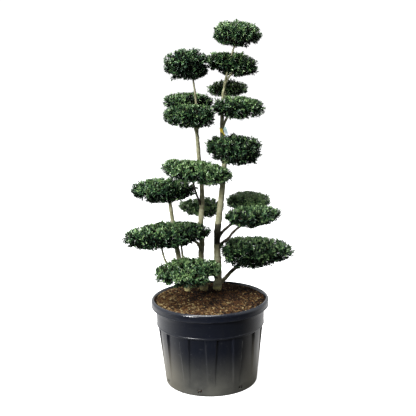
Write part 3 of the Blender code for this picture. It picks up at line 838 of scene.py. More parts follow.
def soil_height(x, y):
    """The compost's level: highest on the patch where the stems stand, and falling to the wall."""
    off_x = x - SOIL_PATCH_CENTRE[0]
    off_y = y - SOIL_PATCH_CENTRE[1]
    length = np.maximum(np.hypot(off_x, off_y), 1e-6)
    out_x = off_x / length
    out_y = off_y / length
    along = SOIL_PATCH_CENTRE[0] * out_x + SOIL_PATCH_CENTRE[1] * out_y
    centre_square = SOIL_PATCH_CENTRE[0] ** 2 + SOIL_PATCH_CENTRE[1] ** 2
    to_wall = -along + np.sqrt(along**2 + SOIL_RADIUS**2 - centre_square)
    patch_edge = 1.0 / np.hypot(out_x / SOIL_PATCH_HALF[0], out_y / SOIL_PATCH_HALF[1])
    share = np.clip((length - patch_edge) / (to_wall - patch_edge), 0.0, 1.0)
    level = SOIL_EDGE_Z + SOIL_RISE * (1.0 - share)
    for stem in STEMS:
        foot_x, foot_y, _ = stem.points[0]
        off_square = (x - foot_x) ** 2 + (y - foot_y) ** 2
        level = level + MOUND_HEIGHT * np.exp(-(off_square / MOUND_SPREAD))
    return level


def make_compost():
    """The crumb surface, turned as a flat disc, then laid to the compost's level and roughened."""
    rings = [(SOIL_RADIUS * ring / SOIL_RINGS, SOIL_EDGE_Z) for ring in range(SOIL_RINGS + 1)]
    profile = [*rings, (SOIL_RADIUS - 0.007, SOIL_FOOT_Z), (0.0, SOIL_FOOT_Z)]
    bed = turned("compost_bed", profile, SOIL_SPOKES)
    upper = bed.vertex_groups.new(name="upper")
    for vert in bed.data.vertices:
        if vert.co.z > SOIL_EDGE_Z - 0.002:
            vert.co.z = float(soil_height(vert.co.x, vert.co.y))
            near_wall = (SOIL_RADIUS - math.hypot(vert.co.x, vert.co.y)) / 0.006
            upper.add([vert.index], min(1.0, max(0.0, near_wall)), "REPLACE")
    roughen(bed, "soil_heaps", 0.030, 0.006, "upper")
    roughen(bed, "soil_grain", 0.006, 0.005, "upper")
    bed.vertex_groups.clear()
    smooth_shade(bed, 60.0)
    wear(bed, compost_crumb())
    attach(bed, "root")
    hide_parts("compost")


def model_shard():
    """A flat splinter of bark, tapered to one end, a metre long until it is placed."""
    bpy.ops.mesh.primitive_cube_add(size=1.0)
    shard = just_added("shard")
    start_edit(shard)
    bpy.ops.transform.resize(value=(1.0, 0.36, 0.16))
    select_points(shard, lambda place: place.x > 0)
    bpy.ops.transform.resize(value=(1.0, 0.45, 0.6), center_override=(0.5, 0.04, 0.02))
    select_points(shard, lambda place: place.z > 0)
    bpy.ops.transform.resize(value=(0.84, 0.72, 1.0), center_override=(0.0, 0.0, 0.0))
    end_edit()
    return take_shape(shard)


def model_crumb(seed):
    """A rough crumb, a metre across until it is placed."""
    bpy.ops.mesh.primitive_ico_sphere_add(subdivisions=1, radius=0.5)
    crumb = just_added("crumb")
    start_edit(crumb)
    bpy.ops.transform.vertex_random(offset=0.16, uniform=1.0, seed=seed)
    bpy.ops.transform.resize(value=(1.0, 0.78, 0.55))
    end_edit()
    return take_shape(crumb)


def model_fibre():
    """A bent thread of bark, a metre long until it is placed."""
    lying = (0.0, math.pi / 2, 0.0)
    bpy.ops.mesh.primitive_cylinder_add(vertices=3, radius=0.035, depth=1.0, rotation=lying)
    fibre = just_added("fibre")
    apply_place(fibre)
    start_edit(fibre)
    bpy.ops.mesh.bisect(plane_co=(0.0, 0.0, 0.0), plane_no=(1.0, 0.0, 0.0))
    bpy.ops.transform.translate(value=(0.0, 0.10, 0.05))
    end_edit()
    return take_shape(fibre)


def turned_frames(rng, count, sizes, steepest_deg):
    """Frames at any turn round Z, tipped by up to the steepest angle, with the copy's size in them."""
    turn = rng.uniform(0, 2 * math.pi, count)
    tip = np.radians(rng.normal(0.0, steepest_deg / 2, count))
    roll = np.radians(rng.normal(0.0, steepest_deg / 2, count))
    along = np.stack([np.cos(turn) * np.cos(tip), np.sin(turn) * np.cos(tip), np.sin(tip)], axis=1)
    level = np.stack([-np.sin(turn), np.cos(turn), np.zeros(count)], axis=1)
    up = np.cross(along, level)
    across = level * np.cos(roll)[:, None] + up * np.sin(roll)[:, None]
    top = np.cross(along, across)
    return np.stack([along, across, top], axis=1) * sizes[:, None, None]


def fill_drains():
    """Pale and reddish crumbs of compost that show in the drain slots."""
    rng = np.random.default_rng(47)
    count = DRAINS * CRUMBS_IN_A_DRAIN
    drain = np.repeat(np.arange(DRAINS), CRUMBS_IN_A_DRAIN)
    angle = np.radians(FIRST_DRAIN_DEG + drain * 360.0 / DRAINS)
    aside = rng.uniform(-0.5, 0.5, count) * (2 * DRAIN_WIDTH + DRAIN_WEB)
    reach = FOOT_RADIUS - rng.uniform(0.0005, 0.0030, count)
    level = DRAIN_Z + rng.uniform(-0.45, 0.20, count) * DRAIN_HEIGHT
    x = reach * np.cos(angle) - aside * np.sin(angle)
    y = reach * np.sin(angle) + aside * np.cos(angle)
    shape = model_crumb(5)
    frames = turned_frames(rng, count, rng.uniform(0.0028, 0.0052, count), 60.0)
    points, faces = joined_copies(shape, np.stack([x, y, level], axis=1), frames)
    piece = mesh_object("drain_crumbs", points, faces, False)
    pale = plain("pale_grit", (0.420, 0.340, 0.280), 0.9)
    red = plain("red_grit", (0.160, 0.050, 0.030), 0.9)
    wear(piece, pale, red)
    deal(piece, rng.uniform(0, 1, count) < 0.45, len(shape[1]))
    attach(piece, "root")


def scatter_chips():
    """Bark chips, crumbs and fibres over the compost, darker round the stems and in front as painted shade,
    and paler at the wall, to the left and at the back as painted light.
    """
    rng = np.random.default_rng(31)
    shapes = [
        ("bark_shards", model_shard(), 0.42, (0.009, 0.026), 0.0022),
        ("bark_crumbs", model_crumb(3), 0.26, (0.0050, 0.0125), 0.0018),
        ("bark_grains", model_crumb(8), 0.24, (0.0030, 0.0070), 0.0010),
        ("bark_fibres", model_fibre(), 0.08, (0.014, 0.030), 0.0020),
    ]
    feet = np.array([stem.points[0][:2] for stem in STEMS])
    materials = [plain(name, colour, 0.9, Specular_IOR_Level=0.15) for name, colour, _ in CHIP_COLOURS]
    shares = np.array([share for _, _, share in CHIP_COLOURS])
    for name, shape, part, sizes, lift in shapes:
        count = round(CHIPS * part)
        size = rng.uniform(*sizes, count)
        reach = (SOIL_RADIUS - 0.002 - size / 2) * np.sqrt(rng.uniform(0, 1, count))
        turn = rng.uniform(0, 2 * math.pi, count)
        x = reach * np.cos(turn)
        y = reach * np.sin(turn)
        heaped = rng.uniform(0, 1, count) < HEAPED_SHARE
        foot = feet[rng.integers(0, len(STEMS), count)]
        off = rng.uniform(0.019, 0.036, count)
        x = np.where(heaped, foot[:, 0] + off * np.cos(turn), x)
        y = np.where(heaped, foot[:, 1] + off * np.sin(turn), y)
        level = soil_height(x, y) + lift + rng.uniform(-0.001, 0.0015, count)
        level = level + heaped * rng.uniform(0, 0.005, count)
        frames = turned_frames(rng, count, size, 34.0)
        points, faces = joined_copies(shape, np.stack([x, y, level], axis=1), frames)
        piece = mesh_object(name, points, faces, False)
        wear(piece, *materials)
        # Painted light and shade: the chips are dealt paler away from the stems, to the left and at the
        # back, and darker round the stems and in front.
        painted_light_bias = 1.3 * (np.hypot(x - SOIL_PATCH_CENTRE[0], y - SOIL_PATCH_CENTRE[1]) / 0.22 - 0.75)
        painted_light_bias += 0.5 * np.sin(x * 31.0 + 1.0) * np.sin(y * 27.0 + 2.0) - 2.8 * x + 1.6 * y
        bias = np.exp(np.outer(painted_light_bias, np.arange(len(shares)) - 1.5) * 0.75) * shares
        drawn = rng.uniform(0, 1, count)[:, None] * bias.sum(1, keepdims=True)
        pick = (drawn > np.cumsum(bias, axis=1)).sum(1)
        deal(piece, np.minimum(pick, len(shares) - 1), len(shape[1]))
        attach(piece, "root")


def smooth_path(points, steps):
    """A Catmull-Rom curve through the points, with this many steps between two of them."""
    knots = [Vector(point) for point in points]
    knots = [2 * knots[0] - knots[1], *knots, 2 * knots[-1] - knots[-2]]
    path = []
    for a, b, c, d in zip(knots, knots[1:], knots[2:], knots[3:]):
        for step in range(steps):
            t = step / steps
            square = (2 * a - 5 * b + 4 * c - d) * t * t
            cube = (3 * b - a - 3 * c + d) * t * t * t
            path.append(0.5 * (2 * b + (c - a) * t + square + cube))
    path.append(knots[-2])
    return path


def limb_radii(limb, path):
    """The source's radius at each point of the path: a taper, a stem's flared foot, and slight knots."""
    along = [0.0]
    for a, b in zip(path, path[1:]):
        along.append(along[-1] + (b - a).length)
    rng = random.Random(limb.name)
    radii = []
    for distance in along:
        share = distance / along[-1]
        taper = limb.tip + (limb.root - limb.tip) * (1.0 - share) ** 1.15
        flare = limb.flare * math.exp(-distance / FLARE_REACH)
        knot = 1.0 + rng.uniform(-0.05, 0.05)
        radii.append(taper * knot + flare)
    return radii


def limb_line(limb):
    """The limb's fine path and its radius there, from the source's own path and girth."""
    coarse = smooth_path(limb.points, STEPS_IN_SOURCE)
    girth = limb_radii(limb, coarse)
    path = smooth_path(limb.points, STEPS_IN_SOURCE * FINE_STEPS)
    at = np.arange(len(path)) / FINE_STEPS
    return path, np.interp(at, np.arange(len(coarse)), girth)


def swollen(limb, path, radii):
    """Adds a bough's collar, or shapes a stem's foot and leader, and adds low swellings at old buds."""
    rng = random.Random(limb.name + " buds")
    along = np.cumsum([0.0] + [(b - a).length for a, b in zip(path, path[1:])])
    girth = np.array(radii)
    if limb.flare:
        share = along / along[-1]
        above = np.clip((share - 0.70) / 0.12, 0.0, 1.0)
        above = above * above * (3.0 - 2.0 * above) * LEADER_THINS[limb.name]
        girth = girth * (1.08 + 0.18 * np.sin(np.pi * share) - above)
        girth = girth - 0.4 * limb.flare * np.exp(-along / FLARE_REACH)
        girth = girth * (1.0 - 0.42 * np.exp(-along / PINCH_REACH))
    else:
        girth = girth * (1.10 + 0.40 * np.exp(-along / COLLAR_REACH))
    spot = 0.05
    while spot < along[-1]:
        girth = girth * (1.0 + rng.uniform(0.03, 0.10) * np.exp(-(((along - spot) / BUD_BREADTH) ** 2)))
        spot += rng.uniform(0.035, 0.085)
    return girth


def add_root_knobs(stem, limb):
    """Rounded lobes of old root that stand round the stem's foot, half sunk in the compost."""
    rng = random.Random(limb.name + " knobs")
    foot = Vector(limb.points[0])
    knobs = []
    for index in range(ROOT_KNOBS):
        angle = (index + rng.uniform(-0.3, 0.3)) * 2 * math.pi / ROOT_KNOBS
        out = limb.root * rng.uniform(0.70, 1.75)
        size = rng.uniform(0.0050, 0.0088)
        height = max(-0.001, 0.019 - out) * rng.uniform(0.4, 1.6)
        place = foot + Vector((out * math.cos(angle), out * math.sin(angle), height))
        bpy.ops.mesh.primitive_ico_sphere_add(subdivisions=4, radius=size, location=place)
        knob = just_added("root_knob")
        knob.scale = (1.0, 1.0, rng.uniform(0.9, 1.7))
        knob.rotation_euler = (rng.uniform(-0.4, 0.4), rng.uniform(-0.4, 0.4), 0.0)
        apply_place(knob)
        knobs.append(knob)
    merge_into(stem, knobs)


def add_snags(piece, limb, path, girth):
    """Short stubs where twigs were once cut off close to the bark."""
    rng = random.Random(limb.name + " snags")
    snags = []
    at = rng.randrange(14, 30)
    while at < len(path) - 30:
        ahead = (path[at + 1] - path[at - 1]).normalized()
        side = ahead.orthogonal().normalized()
        turned_side = Matrix.Rotation(rng.uniform(0, 2 * math.pi), 3, ahead) @ side
        heading = (turned_side + ahead * 0.5).normalized()
        radius = girth[at] * rng.uniform(0.24, 0.36)
        length = girth[at] + rng.uniform(0.0015, 0.0050)
        middle = path[at] + heading * length / 2
        bpy.ops.mesh.primitive_cone_add(
            vertices=10,
            radius1=radius * 1.25,
            radius2=radius * 0.7,
            depth=length,
            location=middle,
            rotation=heading.to_track_quat("Z", "Y").to_euler(),
        )
        snag = just_added("snag")
        apply_place(snag)
        apply_modifier(snag, "BEVEL", width=radius * 0.3, segments=2, limit_method="ANGLE")
        snags.append(snag)
        at += rng.randrange(26, 64)
    if snags:
        merge_into(piece, snags)


def make_limb(limb, material):
    """A curve drawn along the path at the limb's girth, made a mesh and given the bark's relief."""
    path, radii = limb_line(limb)
    girth = swollen(limb, path, radii)
    if limb.flare:
        path = [path[0] - Vector((0.0, 0.0, FOOT_SUNK)), *path]
        girth = np.array([girth[0] * 0.70, *girth])
    bpy.ops.curve.primitive_nurbs_path_add()
    obj = just_added(limb.name + "_bark")
    curve = obj.data
    curve.splines.clear()
    line = curve.splines.new("POLY")
    line.points.add(len(path) - 1)
    for point, place, radius in zip(line.points, path, girth):
        point.co = (*place, 1.0)
        point.radius = radius / limb.root
    curve.twist_mode = "MINIMUM"
    curve.bevel_depth = limb.root
    curve.bevel_resolution = STEM_BEVEL if limb.flare else BOUGH_BEVEL
    curve.use_fill_caps = True
    take_up(obj)
    bpy.ops.object.convert(target="MESH")
    obj = bpy.context.object
    start_edit(obj)
    bpy.ops.mesh.remove_doubles(threshold=0.00005)
    bpy.ops.mesh.normals_make_consistent(inside=False)
    end_edit()
    add_snags(obj, limb, path, girth)
    if limb.name in KNOBBY:
        add_root_knobs(obj, limb)
    if limb.flare:
        foot = obj.vertex_groups.new(name="foot")
        for vert in obj.data.vertices:
            weight = math.exp(-max(0.0, vert.co.z - STEM_FOOT_Z) / 0.030)
            foot.add([vert.index], weight, "REPLACE")
        roughen(obj, "root_lobes", 0.016, limb.flare * 1.3, "foot")
        obj.vertex_groups.clear()
    roughen(obj, "old_bark", 0.020, limb.root * 0.26)
    roughen(obj, "bark_bumps", 0.0055, 0.0016)
    smooth_shade(obj, 60.0)
    wear(obj, material)
    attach(obj, "root")
    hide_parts(limb.name)


def make_limbs():
    pale = (0.372, 0.366, 0.232)
    olive = (0.215, 0.206, 0.110)
    dark = (0.070, 0.058, 0.038)
    barks = {
        "pale": bark("pale_bark", pale, olive, dark),
        # Painted shadow on the right stem from 0.694 to 0.800, with a band of painted light below it.
        "banded": bark("banded_bark", pale, olive, (0.020, 0.016, 0.011), (0.694, 0.800), (0.638, 0.692)),
        # Painted shade on the low right bough from 0.540 up, where it passes under its cloud.
        "shaded": bark("shaded_bark", pale, olive, (0.014, 0.012, 0.009), (0.540, 0.700)),
        # Painted shade: the boughs deep under the clouds take a dark copy of the bark.
        "dark": bark("dark_bark", (0.060, 0.050, 0.034), (0.030, 0.026, 0.016), (0.012, 0.010, 0.008)),
    }
    for limb in (*STEMS, *BOUGHS):
        make_limb(limb, barks[limb.bark])


def golden_directions(count, turn, push=0.8):
    """Directions spread over a sphere by the golden angle, pushed a little towards its poles."""
    i = np.arange(count)
    height = 1.0 - 2.0 * (i + 0.5) / count
    height = np.sign(height) * np.abs(height) ** push
    angle = i * GOLDEN_ANGLE + turn
    flat = np.sqrt(1.0 - height**2)
    return np.stack([flat * np.cos(angle), flat * np.sin(angle), height], axis=1)


class Outline:
    """The clipped outline of a cloud, near the source's in shape and fitted to its CAD node's box."""

    def __init__(self, cloud):
        self.cloud = cloud
        low, high = (np.array(corner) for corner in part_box("cloud_" + cloud.name))
        low[0] -= cloud.left
        self.middle = (low + high) / 2
        self.half = (high - low) / 2
        rng = random.Random(cloud.seed)
        self.phases = [[rng.uniform(0, 2 * math.pi) for _ in range(3)] for _ in range(3)]
        self.tilt = np.array(Matrix.Rotation(math.radians(cloud.tilt_deg), 3, "Y"))
        self.stretch = np.ones(3)
        self.shift = np.zeros(3)
        points = self.point(golden_directions(3000, 0.0, 1.0), 1.0)
        self.stretch = (high - low) / (points.max(0) - points.min(0))
        self.shift = self.middle - (points.max(0) + points.min(0)) / 2
        self.shift *= self.stretch

    def lump(self, direction):
        total = np.zeros(len(direction))
        for wave, phases in zip((2.0, 3.0, 4.5), self.phases):
            for axis in range(3):
                total += np.sin(wave * direction[:, axis] + phases[axis]) / wave
        return 1.0 + LUMP * total / 1.5

    def point(self, direction, share):
        """Where rays from the middle meet the outline, or a smaller copy of the outline."""
        share = np.broadcast_to(share, len(direction))
        power = self.cloud.fullness
        flat = np.hypot(direction[:, 0], direction[:, 1])
        scale = (flat**power + np.abs(direction[:, 2]) ** power) ** (-1.0 / power)
        scale = scale * self.lump(direction) * share
        local = direction * self.half * scale[:, None]
        local[:, :2] *= 1.0 + self.cloud.taper * local[:, 2:] / self.half[2]
        below = np.minimum(local[:, 2], 0.0) / self.half[2]
        local[:, 0] += self.cloud.keel * below**2 * share
        local[:, 2] *= 1.0 - self.cloud.wedge * local[:, 0] / self.half[0]
        return self.middle + (local @ self.tilt.T) * self.stretch + self.shift

    def share(self, places):
        """How far out the places lie: 1 on the outline."""
        local = ((places - self.middle - self.shift) / self.stretch) @ self.tilt
        local[:, 2] /= np.maximum(0.5, 1.0 - self.cloud.wedge * local[:, 0] / self.half[0])
        below = np.minimum(local[:, 2], 0.0) / self.half[2]
        local[:, 0] -= self.cloud.keel * below**2
        local[:, :2] /= np.maximum(0.5, 1.0 + self.cloud.taper * local[:, 2:] / self.half[2])
        scaled = local / self.half
        power = self.cloud.fullness
        flat = np.hypot(scaled[:, 0], scaled[:, 1])
        size = (flat**power + np.abs(scaled[:, 2]) ** power) ** (1.0 / power)
        return size / self.lump(unit(scaled))

    def outward(self, direction):
        return unit(direction / self.half) @ self.tilt.T

    def area(self):
        length, depth, thickness = self.half
        fuller = 1.0 + 0.22 * (self.cloud.fullness - 2.0)
        return math.pi * (2 * length * depth + thickness * (length + depth)) * fuller

    def spread(self, count, turn, underside=1.0):
        """Directions that lie evenly over the outline's area, thinner below if underside is under 1."""
        many = golden_directions(count * 5, turn, 1.0)
        weight = np.sqrt(((many / self.half) ** 2).sum(1))
        weight = weight * np.where(many[:, 2] < -0.45, underside, 1.0)
        filled = np.floor(np.cumsum(weight) / weight.sum() * count)
        return many[np.diff(filled, prepend=0.0) > 0]


def arcs(starts, bends, ends, at):
    """Places and headings on curved paths from starts to ends, at the shares given for each path."""
    t = at[..., None]
    a, b, c = (end[:, None, :] for end in (starts, bends, ends))
    places = (1 - t) ** 2 * a + 2 * (1 - t) * t * b + t**2 * c
    headings = 2 * (1 - t) * (b - a) + 2 * t * (c - b)
    return places, unit(headings)


def nearest(places, candidates):
    """For each place, the index of the nearest candidate."""
    gaps = ((places[:, None, :] - candidates[None, :, :]) ** 2).sum(-1)
    return gaps.argmin(1)


def even_arcs(starts, bends, ends, steps):
    """Curved paths with this many places each, evenly spaced."""
    at = np.broadcast_to(np.linspace(0.0, 1.0, steps), (len(ends), steps))
    return arcs(starts, bends, ends, at)


def tubes(places, headings, thick, thin, sides):
    """Closed thin tubes along paths of equal length, thick at the start and thin at the end."""
    count, rings, _ = places.shape
    chord = places[:, -1] - places[:, 0]
    side = np.cross(chord, np.where(np.abs(chord[:, 2:]) < 0.02, (0.0, 0.0, 1.0), (1.0, 0.3, 0.0)))
    side = unit(side)[:, None, :]
    side = unit(side - headings * (side * headings).sum(-1, keepdims=True))
    across = np.cross(headings, side)
    angle = np.arange(sides) * 2 * math.pi / sides
    ring = side[:, :, None] * np.cos(angle)[:, None] + across[:, :, None] * np.sin(angle)[:, None]
    points = places[:, :, None] + ring * np.linspace(thick, thin, rings)[:, None, None]
    faces = []
    for tube in range(count):
        first = tube * rings * sides
        faces.append(tuple(first + k for k in reversed(range(sides))))
        for level in range(rings - 1):
            low = first + level * sides
            for k in range(sides):
                j = (k + 1) % sides
                faces.append((low + k, low + j, low + j + sides, low + k + sides))
        faces.append(tuple(first + (rings - 1) * sides + k for k in range(sides)))
    return points.reshape(-1, 3), faces


def model_leaf():
    """One leaf, a metre long from its stalk along Y: oval, folded along the midrib, its tip turned down."""
    bpy.ops.mesh.primitive_grid_add(x_subdivisions=2, y_subdivisions=3, size=1.0, location=(0.0, 0.5, 0.0))
    leaf = just_added("leaf")
    apply_place(leaf)
    rows = ((1 / 3, 0.47, -0.02, 0.035), (2 / 3, 0.45, 0.02, 0.030))
    start_edit(leaf)
    for end in (0.0, 1.0):
        select_points(leaf, lambda place: abs(place.y - end) < 0.01)
        bpy.ops.mesh.merge(type="CENTER")
    for y, breadth, shift, lift in rows:
        select_points(leaf, lambda place: abs(place.y - y) < 0.01)
        bpy.ops.transform.resize(value=(breadth, 1.0, 1.0), center_override=(0.0, y, 0.0))
        bpy.ops.transform.translate(value=(0.0, shift, lift))
    select_points(leaf, lambda place: abs(place.x) > 0.05)
    bpy.ops.transform.translate(value=(0.0, 0.0, 0.055))
    select_points(leaf, lambda place: place.y > 0.99)
    bpy.ops.transform.translate(value=(0.0, 0.0, -0.05))
    end_edit()
    return take_shape(leaf)


def limb_lines_near(outline):
    """The limbs that come into the box round a cloud, as arrays."""
    reach = outline.half * 1.15 + 0.02
    lines = []
    for limb in (*STEMS, *BOUGHS):
        path, radii = limb_line(limb)
        path = np.array([tuple(point) for point in path])
        if (np.abs(path - outline.middle) < reach).all(1).any():
            lines.append((path[::4], radii[::4]))
    return lines


def openings_in(cloud):
    """The openings through this cloud, in the same form as the limb lines."""
    return [
        (np.array([start, end]), np.array([radius, radius]))
        for name, start, end, radius in OPENINGS
        if name == cloud.name
    ]


def cloud_foot(outline, lines):
    """The tip of the bough that carries the cloud, and the way it heads there."""
    ends = [path[-1] for path, _ in lines]
    nearest_line = int(np.argmin([np.linalg.norm(end - outline.middle) for end in ends]))
    path = lines[nearest_line][0]
    return path[-1], unit(path[-1] - path[-3])


class Growth:
    """The branchlets, twigs and shoots of one cloud, grown from its bough's tip."""

    def __init__(self, cloud):
        self.cloud = cloud
        self.outline = Outline(cloud)
        self.lines = limb_lines_near(self.outline)
        self.rng = np.random.default_rng(cloud.seed * 7 + 3)
        self.wood = []
        self.green = []
        foot, heading = cloud_foot(self.outline, self.lines)
        self.lines = self.lines + openings_in(cloud)
        self.tufts = self.place_tufts()
        branchlets = self.grow_branchlets(foot, heading)
        twigs = self.grow_twigs(branchlets)
        self.shoots = self.grow_shoots(twigs)

    def clear(self, places, clearance):
        """Whether each place lies clear of the bark of the limbs near by, and of the openings."""
        free = np.ones(len(places), bool)
        for path, radii in self.lines:
            start = path[:-1]
            run = path[1:] - start
            offset = places[:, None, :] - start[None]
            t = np.clip((offset * run).sum(-1) / (run**2).sum(-1), 0.0, 1.0)
            gap = np.linalg.norm(offset - run * t[..., None], axis=-1) - radii[:-1]
            free &= gap.min(1) > clearance
        return free

    def place_tufts(self):
        """The middle of each tuft on the outline, and how far it stands past it."""
        count = round(self.outline.area() / AREA_FOR_A_TUFT)
        directions = self.outline.spread(count, self.cloud.seed + 4.0)
        directions = unit(directions + self.rng.normal(0.0, 0.06, directions.shape))
        return self.outline.point(directions, 1.0), self.rng.normal(0.0, TUFT_UNEVEN, len(directions))

    def tuft_height(self, places):
        """How far the tufts stand past the outline there, in metres; a crease between two lies lower."""
        middles, uneven = self.tufts
        index = nearest(places, middles)
        gap = np.linalg.norm(places - middles[index], axis=1)
        return uneven[index] + TUFT_DOME * (0.20 - np.minimum(gap / TUFT_RADIUS, 1.2) ** 2)

    def grow_branchlets(self, foot, heading):
        """Branchlets that fork from the bough's tip, and the places on them where twigs may start."""
        ends = self.outline.point(golden_directions(BRANCHLETS, self.cloud.seed), BRANCHLET_END)
        starts = np.repeat(foot[None], BRANCHLETS, axis=0)
        reach = np.linalg.norm(ends - starts, axis=1, keepdims=True)
        bends = starts + heading * reach * 0.35 + (ends - starts) * 0.25
        bends = bends + self.rng.normal(0.0, 0.006, ends.shape)
        places, headings = even_arcs(starts, bends, ends, 7)
        self.wood.append(tubes(places, headings, *BRANCHLET_RADII, 6))
        return places[:, 2:].reshape(-1, 3)

    def grow_twigs(self, branchlets):
        """Twigs from the nearest branchlets, and the places on them where shoots may start."""
        count = round(self.outline.area() / AREA_FOR_A_TWIG)
        directions = self.outline.spread(count, self.cloud.seed + 1.0)
        ends = self.outline.point(directions, self.rng.uniform(*TWIG_ENDS, len(directions)))
        starts = branchlets[nearest(ends, branchlets)]
        bends = (starts + ends) / 2 + self.rng.normal(0.0, 0.006, ends.shape)
        places, headings = even_arcs(starts, bends, ends, 5)
        free = self.clear(places[:, 2], TWIG_CLEARANCE) & self.clear(ends, TWIG_CLEARANCE)
        self.wood.append(tubes(places[free], headings[free], *TWIG_RADII, 4))
        return places[free][:, 1:].reshape(-1, 3)

    def grow_shoots(self, twigs):
        """Green shoots up to their tufts, as starts, bends, ends, directions and which are stray."""
        count = round(self.outline.area() / AREA_FOR_A_SHOOT)
        directions = self.outline.spread(count, self.cloud.seed + 2.0, underside=0.72)
        shares = self.rng.uniform(*SHOOT_ENDS, len(directions))
        inner = self.rng.uniform(0, 1, len(directions)) < INNER_SHARE
        depth = self.rng.uniform(0, 1, len(directions)) ** 0.6
        shares = np.where(inner, 0.34 + 0.52 * depth, shares)
        ends = self.outline.point(directions, shares)
        out = self.outline.outward(directions)
        stray = self.rng.uniform(0, 1, len(directions)) < STRAY_SHARE
        height = self.tuft_height(ends) + self.rng.normal(0.0, SHOOT_UNEVEN, len(directions))
        height = height + stray * self.rng.uniform(*STRAY_REACH, len(directions))
        ends = ends + out * height[:, None]
        starts = twigs[nearest(ends - out * 0.030, twigs)]
        way = unit(ends - starts) * 0.55 + out * 0.55 + np.array((0.0, 0.0, 0.22))
        way = unit(way + self.rng.normal(0.0, 0.28, ends.shape))
        bends = ends - way * np.linalg.norm(ends - starts, axis=1, keepdims=True) * 0.5
        places, headings = even_arcs(starts, bends, ends, 4)
        free = self.clear(places[:, 2], TWIG_CLEARANCE) & self.clear(ends, SHOOT_END_CLEARANCE)
        self.green.append(tubes(places[free], headings[free], *SHOOT_RADII, 3))
        return [array[free] for array in (starts, bends, ends, directions, stray)]

    def leaves(self):
        """The base, heading, upper side, length and green of every leaf on every shoot."""
        rng = self.rng
        starts, bends, ends, directions, stray = self.shoots
        count = len(ends)
        length = np.linalg.norm(ends - starts, axis=1)
        step = np.arange(LEAVES_ON_A_SHOOT) / (LEAVES_ON_A_SHOOT - 1)
        leafy = np.minimum(LEAFY_LENGTH / length, 0.9)
        at = 1.0 - step[None, :] * leafy[:, None]
        places, headings = arcs(starts, bends, ends, at)
        turn = rng.uniform(0, 2 * math.pi, count)[:, None] + np.arange(LEAVES_ON_A_SHOOT) * GOLDEN_ANGLE
        turn = turn + rng.normal(0.0, 0.25, turn.shape)
        side = unit(np.cross(headings, (0.31, 0.17, 0.93)))
        across = np.cross(headings, side)
        radial = side * np.cos(turn)[..., None] + across * np.sin(turn)[..., None]
        open_deg = 30.0 + 34.0 * np.sqrt(step)[None, :] + rng.normal(0.0, 9.0, turn.shape)
        opened = np.radians(open_deg)[..., None]
        ahead = headings * np.cos(opened) + radial * np.sin(opened)
        upper = headings * np.sin(opened) - radial * np.cos(opened)
        upper = unit(upper + np.array((0.0, 0.0, 0.35)) + rng.normal(0.0, 0.16, upper.shape))
        size = rng.uniform(*LEAF_LENGTH, turn.shape) * (0.72 + 0.28 * np.sqrt(step))[None, :]
        green = self.greens(directions, places + ahead * size[..., None] * 0.6)
        flat = [array.reshape(-1, *array.shape[2:]) for array in (places, ahead, upper, size, green)]
        return self.clip(*flat, np.repeat(stray, LEAVES_ON_A_SHOOT))

    def greens(self, directions, middles):
        """Which green each leaf has: by its spray, with painted light on the cloud's upper side and from
        the cloud's own light, by painted shade at its depth under the outline, and a little chance.
        """
        rng = self.rng
        shape = middles.shape[:2]
        out = self.outline.outward(directions)
        # Painted light: lighter on the cloud's upper side and by the cloud's own light.
        spray = SPRAY_TONE + self.cloud.light + TOP_LIGHT * out[:, 2]
        spray = spray + rng.normal(0.0, SPRAY_SPREAD, len(out))
        swell = np.sin(out[:, 0] * 4.1 + self.cloud.seed) * np.sin(out[:, 1] * 3.3 + self.cloud.seed * 2.0)
        spray = spray + TONE_SWELL * swell
        flat = middles.reshape(-1, 3)
        # Painted shade: darker with depth under the outline.
        depth = (1.0 - self.outline.share(flat)) * np.linalg.norm(flat - self.outline.middle, axis=1)
        shade = np.clip(depth.reshape(shape) / DARK_DEPTH, -0.25, 1.0)
        tone = spray[:, None] - DEPTH_SHADE * shade + rng.normal(0.0, LEAF_SPREAD, shape)
        return (tone[..., None] > GREEN_CUTS).sum(-1)

    def clip(self, places, ahead, upper, size, green, stray):
        """Draws back the leaves that pass their tuft, as shears do, and drops those that touch a limb."""
        tips = places + ahead * size[:, None]
        inward = self.outline.middle - tips
        slack = np.abs(self.rng.normal(0.0, CLIP_UNEVEN, len(places))) + stray * STRAY_SLACK
        limit = 1.0 + (self.tuft_height(tips) + slack) / np.linalg.norm(inward, axis=1)
        over = np.maximum(0.0, self.outline.share(tips) - limit)
        places = places + inward * over[:, None]
        free = self.clear(places + ahead * size[:, None] * 0.5, LEAF_CLEARANCE)
        free &= self.clear(places + ahead * size[:, None], LEAF_CLEARANCE)
        return places[free], ahead[free], upper[free], size[free], green[free]


def leaf_frames(ahead, upper, size, rng):
    """Each leaf's own x, y and z, with its length and breadth in them."""
    across = unit(np.cross(ahead, upper))
    face = np.cross(across, ahead)
    breadth = LEAF_BREADTH * rng.uniform(0.88, 1.12, len(size))
    frames = np.stack([across * breadth[:, None], ahead, face], axis=1)
    return frames * size[:, None, None]


def joined(parts):
    """One list of points and faces from several."""
    points = []
    faces = []
    start = 0
    for part_points, part_faces in parts:
        points.append(part_points)
        faces += [tuple(start + corner for corner in face) for face in part_faces]
        start += len(part_points)
    return np.concatenate(points), faces


